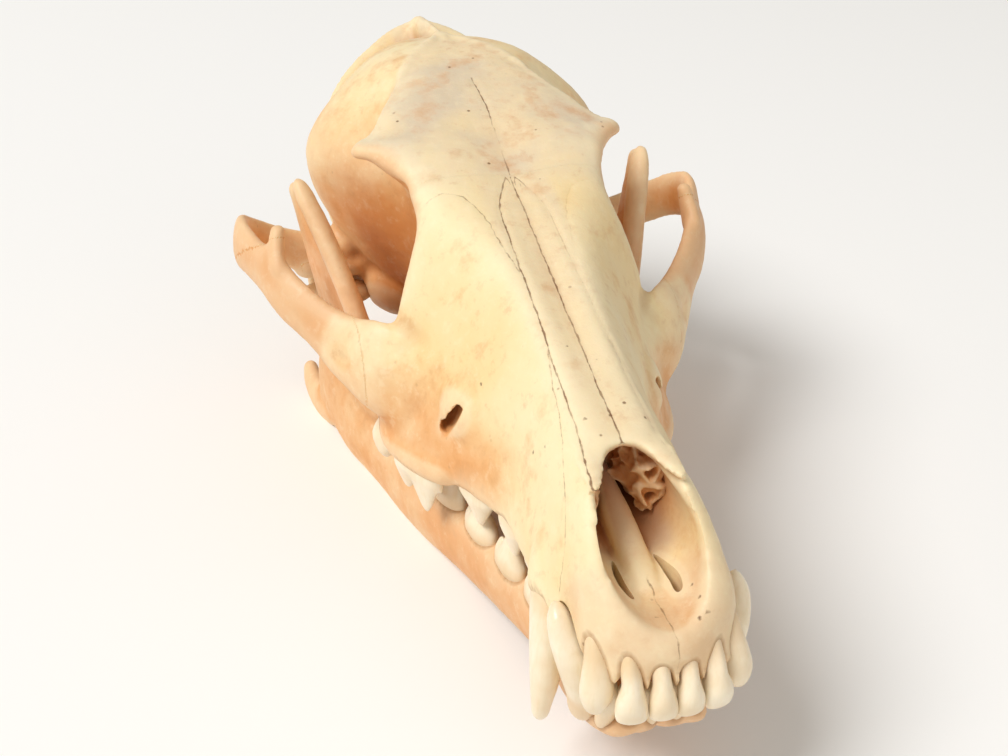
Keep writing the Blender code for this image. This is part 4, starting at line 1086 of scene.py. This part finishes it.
def dry_bone():
    """Cleaned, dried bone: a matt ivory with warm tints and painted warm shade, painted shade in hollows,
    by the teeth, in pores and holes, painted light on crests, and seams.
    """
    material, tree = new_material("dry_bone")
    place = add(tree, "ShaderNodeTexCoord", out="Object")
    # Fat stains drift over some 26 mm, patches over 8 mm and specks over 3 mm. Real bone's grain
    # is a few tenths of a millimetre, too fine to show, so it is drawn at 1.4 mm.
    broad = add(tree, NOISE, {"Vector": place, "Scale": scale_for(26.3), "Detail": 4.0})
    patch = add(tree, NOISE, {"Vector": place, "Scale": scale_for(8.33), "Detail": 6.0, "Roughness": 0.62})
    fleck = add(tree, NOISE, {"Vector": place, "Scale": scale_for(3.03), "Detail": 6.0, "Roughness": 0.7})
    grain = add(tree, NOISE, {"Vector": place, "Scale": scale_for(1.43), "Detail": 5.0})
    names = ("warm", "pale", "deep", "hollow", "socket", "pit")
    fields = [add(tree, FIELD, out="Fac", attribute_name=name) for name in names]
    warm, pale, deep, hollow, socket, pit = fields

    # Shares that two fields make together
    spotted = add(tree, RANGE, {0: patch, 1: 0.3, 2: 0.6, 3: 0.45, 4: 1.0})
    spotted = add(tree, MATH, {0: pale, 1: spotted}, operation="MULTIPLY")
    greyed = add(tree, RANGE, {0: broad, 1: 0.46, 2: 0.6})
    greyed = add(tree, MATH, {0: pale, 1: greyed}, operation="MULTIPLY")
    # Warm orange from the warm share, partly painted shade, broken up by patches and drift
    warm_tint_and_shade = add(tree, RANGE, {0: patch, 1: 0.3, 2: 0.7, 3: -0.2, 4: 0.2})
    warm_tint_and_shade = add(tree, MATH, {0: warm, 1: warm_tint_and_shade})
    drift = add(tree, RANGE, {0: broad, 1: 0.3, 2: 0.7, 3: -0.14, 4: 0.14})
    warm_tint_and_shade = add(tree, MATH, {0: warm_tint_and_shade, 1: drift})

    tint = covered(
        tree,
        linear("#F3DFB2"),
        (
            (broad, 0.35, 0.65, 0.0, 1.0, "#EFD096"),
            (spotted, 0.0, 1.0, 0.0, 1.0, "#EED6AE"),
            (greyed, 0.0, 1.0, 0.0, 0.62, "#D3C5B0"),
            (warm_tint_and_shade, 0.05, 1.0, 0.0, 0.92, "#E39A55"),
            (patch, 0.54, 0.72, 0.0, 0.45, "#D29A60"),
            (fleck, 0.56, 0.7, 0.0, 0.28, "#C98D58"),
            (fleck, 0.46, 0.34, 0.0, 0.22, "#FBEBC6"),
            (deep, 0.0, 1.0, 0.0, 0.9, "#B46426"),
            # Painted shade browns the hollows; painted light lightens the crests
            (hollow, 0.12, 1.3, 0.0, 0.75, "#B06F36"),
            (hollow, -0.12, -0.5, 0.0, 0.35, "#F8E9C4"),
            # Painted shade where the bone meets the teeth
            (socket, 0.45, 0.9, 0.0, 0.7, "#A2703F"),
        ),
    )

    waver = add(tree, RANGE, {0: grain, 1: 0.3, 2: 0.7, 3: -0.1, 4: 0.12})
    strong = add(tree, RANGE, {0: patch, 1: 0.36, 2: 0.54, 3: 0.35, 4: 0.85})
    faint = add(tree, RANGE, {0: fleck, 1: 0.42, 2: 0.56, 3: 0.1, 4: 0.6})
    dark_seam = seam_line(tree, "dark_seam", waver, 0.06, 0.14, strong)
    fine_seam = seam_line(tree, "fine_seam", waver, 0.05, 0.13, faint)

    # Pores half a millimetre wide, wider than most real ones so that they show, in one of six
    # cells 3 mm across, browned with painted shade for the inside of each hole
    cells = {"Vector": place, "Scale": scale_for(3.03), "Randomness": 1.0}
    chosen = add(tree, "ShaderNodeTexVoronoi", cells, "Color")
    chosen = add(tree, "ShaderNodeSeparateColor", {0: chosen})
    chosen = add(tree, RANGE, {0: chosen, 1: 0.82, 2: 0.86})
    pores = add(tree, "ShaderNodeTexVoronoi", cells, "Distance")
    pores = add(tree, RANGE, {0: pores, 1: 0.07, 2: 0.13, 3: 1.0, 4: 0.0})
    pores = add(tree, MATH, {0: pores, 1: chosen}, operation="MULTIPLY")
    chosen = add(tree, RANGE, {0: pale, 1: 0.1, 2: 0.8, 3: 0.15, 4: 0.8})
    pores = add(tree, MATH, {0: pores, 1: chosen}, operation="MULTIPLY")
    tint = covered(
        tree,
        tint,
        (
            (fine_seam, 0.0, 1.0, 0.0, 1.0, "#7A5330"),
            (dark_seam, 0.0, 1.0, 0.0, 1.0, "#7A4E28"),
            # Painted shade in the pores and the small blood-vessel holes
            (pores, 0.0, 1.0, 0.0, 1.0, "#7D5530"),
            (pit, 0.62, 0.82, 0.0, 0.85, "#6B4526"),
        ),
    )

    rise = add(tree, MATH, {0: patch, 1: 0.8}, operation="MULTIPLY")
    marks = ((grain, 0.35), (fleck, 0.3), (pores, -0.9), (dark_seam, -0.7), (fine_seam, -0.4))
    for part, share in marks:
        rise = add(tree, MATH, {0: part, 1: share, 2: rise}, operation="MULTIPLY_ADD")
    bump = add(tree, "ShaderNodeBump", {"Height": rise, "Strength": 0.55, "Distance": 0.3 * MM})
    gloss = add(tree, RANGE, {0: patch, 1: 0.3, 2: 0.7, 3: 0.46, 4: 0.62})
    surface = {"Base Color": tint, "Roughness": gloss, "Normal": bump, "Subsurface Weight": 0.08}
    surface.update({"Subsurface Radius": (1.0, 0.55, 0.3), "Subsurface Scale": 1.5 * MM})
    add(tree, END, {"Surface": add(tree, SHADER, surface)})
    return material


def tooth_enamel():
    """Tooth enamel: off-white, smooth and a little glossy, warmer and duller towards the root."""
    material, tree = new_material("tooth_enamel")
    place = add(tree, "ShaderNodeTexCoord", out="Object")
    # Clouds of 7 mm. Real growth lines are about 0.1 mm apart, too fine to show, so these long
    # streaks are 0.7 mm apart.
    cloud = add(tree, NOISE, {"Vector": place, "Scale": scale_for(6.67), "Detail": 4.0})
    lines = add(tree, "ShaderNodeMapping", {"Vector": place, "Scale": (1.0, 1.0, 0.12)})
    streak = add(tree, NOISE, {"Vector": lines, "Scale": scale_for(0.714), "Detail": 3.0})
    root = add(tree, FIELD, out="Fac", attribute_name="root")
    tint = covered(
        tree,
        linear("#F8EACF"),
        (
            (cloud, 0.35, 0.65, 0.0, 1.0, "#F0DBB8"),
            (streak, 0.5, 0.75, 0.0, 0.3, "#E6CFA2"),
            (root, 0.0, 1.0, 0.0, 0.5, "#E3B97F"),
        ),
    )
    bump = add(tree, "ShaderNodeBump", {"Height": streak, "Strength": 0.15, "Distance": 0.1 * MM})
    gloss = add(tree, RANGE, {0: root, 1: 0.0, 2: 1.0, 3: 0.28, 4: 0.42})
    surface = {"Base Color": tint, "Roughness": gloss, "Normal": bump, "Subsurface Weight": 0.1}
    surface.update({"Subsurface Radius": (1.0, 0.7, 0.45), "Subsurface Scale": 1.0 * MM})
    add(tree, END, {"Surface": add(tree, SHADER, surface)})
    return material


def place_piece(obj, material, nodes):
    """The piece laid on the table with its material, in place of the named solids."""
    obj.data.transform(LAY)
    obj.data.materials.clear()
    obj.data.materials.append(material)
    obj.data.shade_smooth()
    obj.data.set_sharp_from_angle(angle=math.radians(SHARP_ANGLE))
    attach(obj, BODY)
    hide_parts(*nodes)
    return obj


def dress():
    """All pieces of the skull."""
    bone = dry_bone()
    enamel = tooth_enamel()
    brain, face, jugal_left, jugal_right = cranium_pieces()
    jaw_left, jaw_right = jaw_pieces()
    teeth = teeth_pieces()
    keep_sockets([face], [piece for piece in teeth if piece.name.startswith("upper")])
    keep_sockets([jaw_left, jaw_right], [piece for piece in teeth if piece.name.startswith("lower")])
    for piece, node in (
        (brain, "cranium_braincase"),
        (face, "cranium_face"),
        (jugal_left, "jugal_left"),
        (jugal_right, "jugal_right"),
        (jaw_left, "mandible_left"),
        (jaw_right, "mandible_right"),
    ):
        place_piece(piece, bone, [node])
    for piece in teeth:
        if piece.name.startswith("upper"):
            finished_teeth(piece, *UPPER_WARM)
            owner = "cranium_face"
        else:
            finished_teeth(piece, *LOWER_WARM)
            owner = "mandible_" + piece.name.rsplit("_", 1)[1]
        place_piece(piece, enamel, [owner])
    scrolls = joined("nose_scrolls", scroll_parts())
    fused(scrolls, SCROLL_VOXEL, 1)
    finished_scrolls(scrolls)
    place_piece(scrolls, bone, ["cranium_face"])


# The camera in skull space: where it looks from, in degrees, and millimetres
VIEW_AZIMUTH = -13.798
VIEW_ELEVATION = 26.499
VIEW_ROLL = -1.35
VIEW_CENTRE = (0.0, 95.0, 25.0)
VIEW_DISTANCE = 264.338
VIEW_SHIFT = (-1.99, -18.748)
FRAME_WIDTH = 1008.0
FOCAL_PIXELS = 1275.615
SENSOR = 36.0

# The stage, in metres and watts: each soft lamp's name, place, width and power
FLOOR_HALF = 3.0
LAMPS = (("key", (-2.08, -0.32, 2.72), 1.8, 90.0), ("fill", (0.3, -0.7, 0.4), 0.8, 0.9))
LAMP_AIM = (0, -0.03, 0.04)
ROOM_LIGHT = 0.42


def set_camera():
    """The camera at the photograph's angle, carried with the skull from skull space to rest."""
    a, e = math.radians(VIEW_AZIMUTH), math.radians(VIEW_ELEVATION)
    back = Vector((math.sin(a) * math.cos(e), -math.cos(a) * math.cos(e), math.sin(e)))
    right = Vector((0, 0, 1)).cross(back).normalized()
    above = back.cross(right)
    roll = math.radians(VIEW_ROLL)
    right, above = (
        right * math.cos(roll) + above * math.sin(roll),
        above * math.cos(roll) - right * math.sin(roll),
    )
    spot = Vector(VIEW_CENTRE) + back * VIEW_DISTANCE
    spot += right * VIEW_SHIFT[0] + above * VIEW_SHIFT[1]
    turn = Matrix((right, above, back)).transposed().to_4x4()
    turn.translation = spot
    location, rotation, _ = (LAY @ turn).decompose()
    camera = bpy.data.objects.new("camera", bpy.data.cameras.new("camera"))
    bpy.context.scene.collection.objects.link(camera)
    camera.location = location
    camera.rotation_mode = "QUATERNION"
    camera.rotation_quaternion = rotation
    camera.data.sensor_width = SENSOR
    camera.data.lens = FOCAL_PIXELS * SENSOR / FRAME_WIDTH
    camera.data.clip_start = 0.01
    bpy.context.scene.camera = camera


def set_stage():
    """A floor of white card, a bright room and two soft lamps."""
    bm = bmesh.new()
    bmesh.ops.create_grid(bm, x_segments=1, y_segments=1, size=FLOOR_HALF)
    mesh = bpy.data.meshes.new("floor")
    bm.to_mesh(mesh)
    bm.free()
    floor = bpy.data.objects.new("floor", mesh)
    bpy.context.scene.collection.objects.link(floor)
    # White card: uncoated, so it is matt and nearly neutral beside the warm bone
    material, tree = new_material("white_card")
    shader = add(tree, SHADER, {"Base Color": linear("#F7F6F4"), "Roughness": 0.9})
    add(tree, END, {"Surface": shader})
    mesh.materials.append(material)
    bpy.context.scene.view_settings.view_transform = "Standard"
    world = bpy.data.worlds.new("room")
    bpy.context.scene.world = world
    world.use_nodes = True
    background = world.node_tree.nodes["Background"]
    background.inputs["Color"].default_value = linear("#FFFCF6")
    background.inputs["Strength"].default_value = ROOM_LIGHT
    for name, spot, size, power in LAMPS:
        lamp = bpy.data.lights.new(name, "AREA")
        lamp.shape = "DISK"
        lamp.size = size
        lamp.energy = power
        holder = bpy.data.objects.new(name, lamp)
        holder.location = spot
        holder.rotation_mode = "QUATERNION"
        holder.rotation_quaternion = (Vector(LAMP_AIM) - Vector(spot)).to_track_quat("-Z", "Y")
        bpy.context.scene.collection.objects.link(holder)


noise.seed_set(WAVER_SEED)
set_camera()
dress()
set_stage()
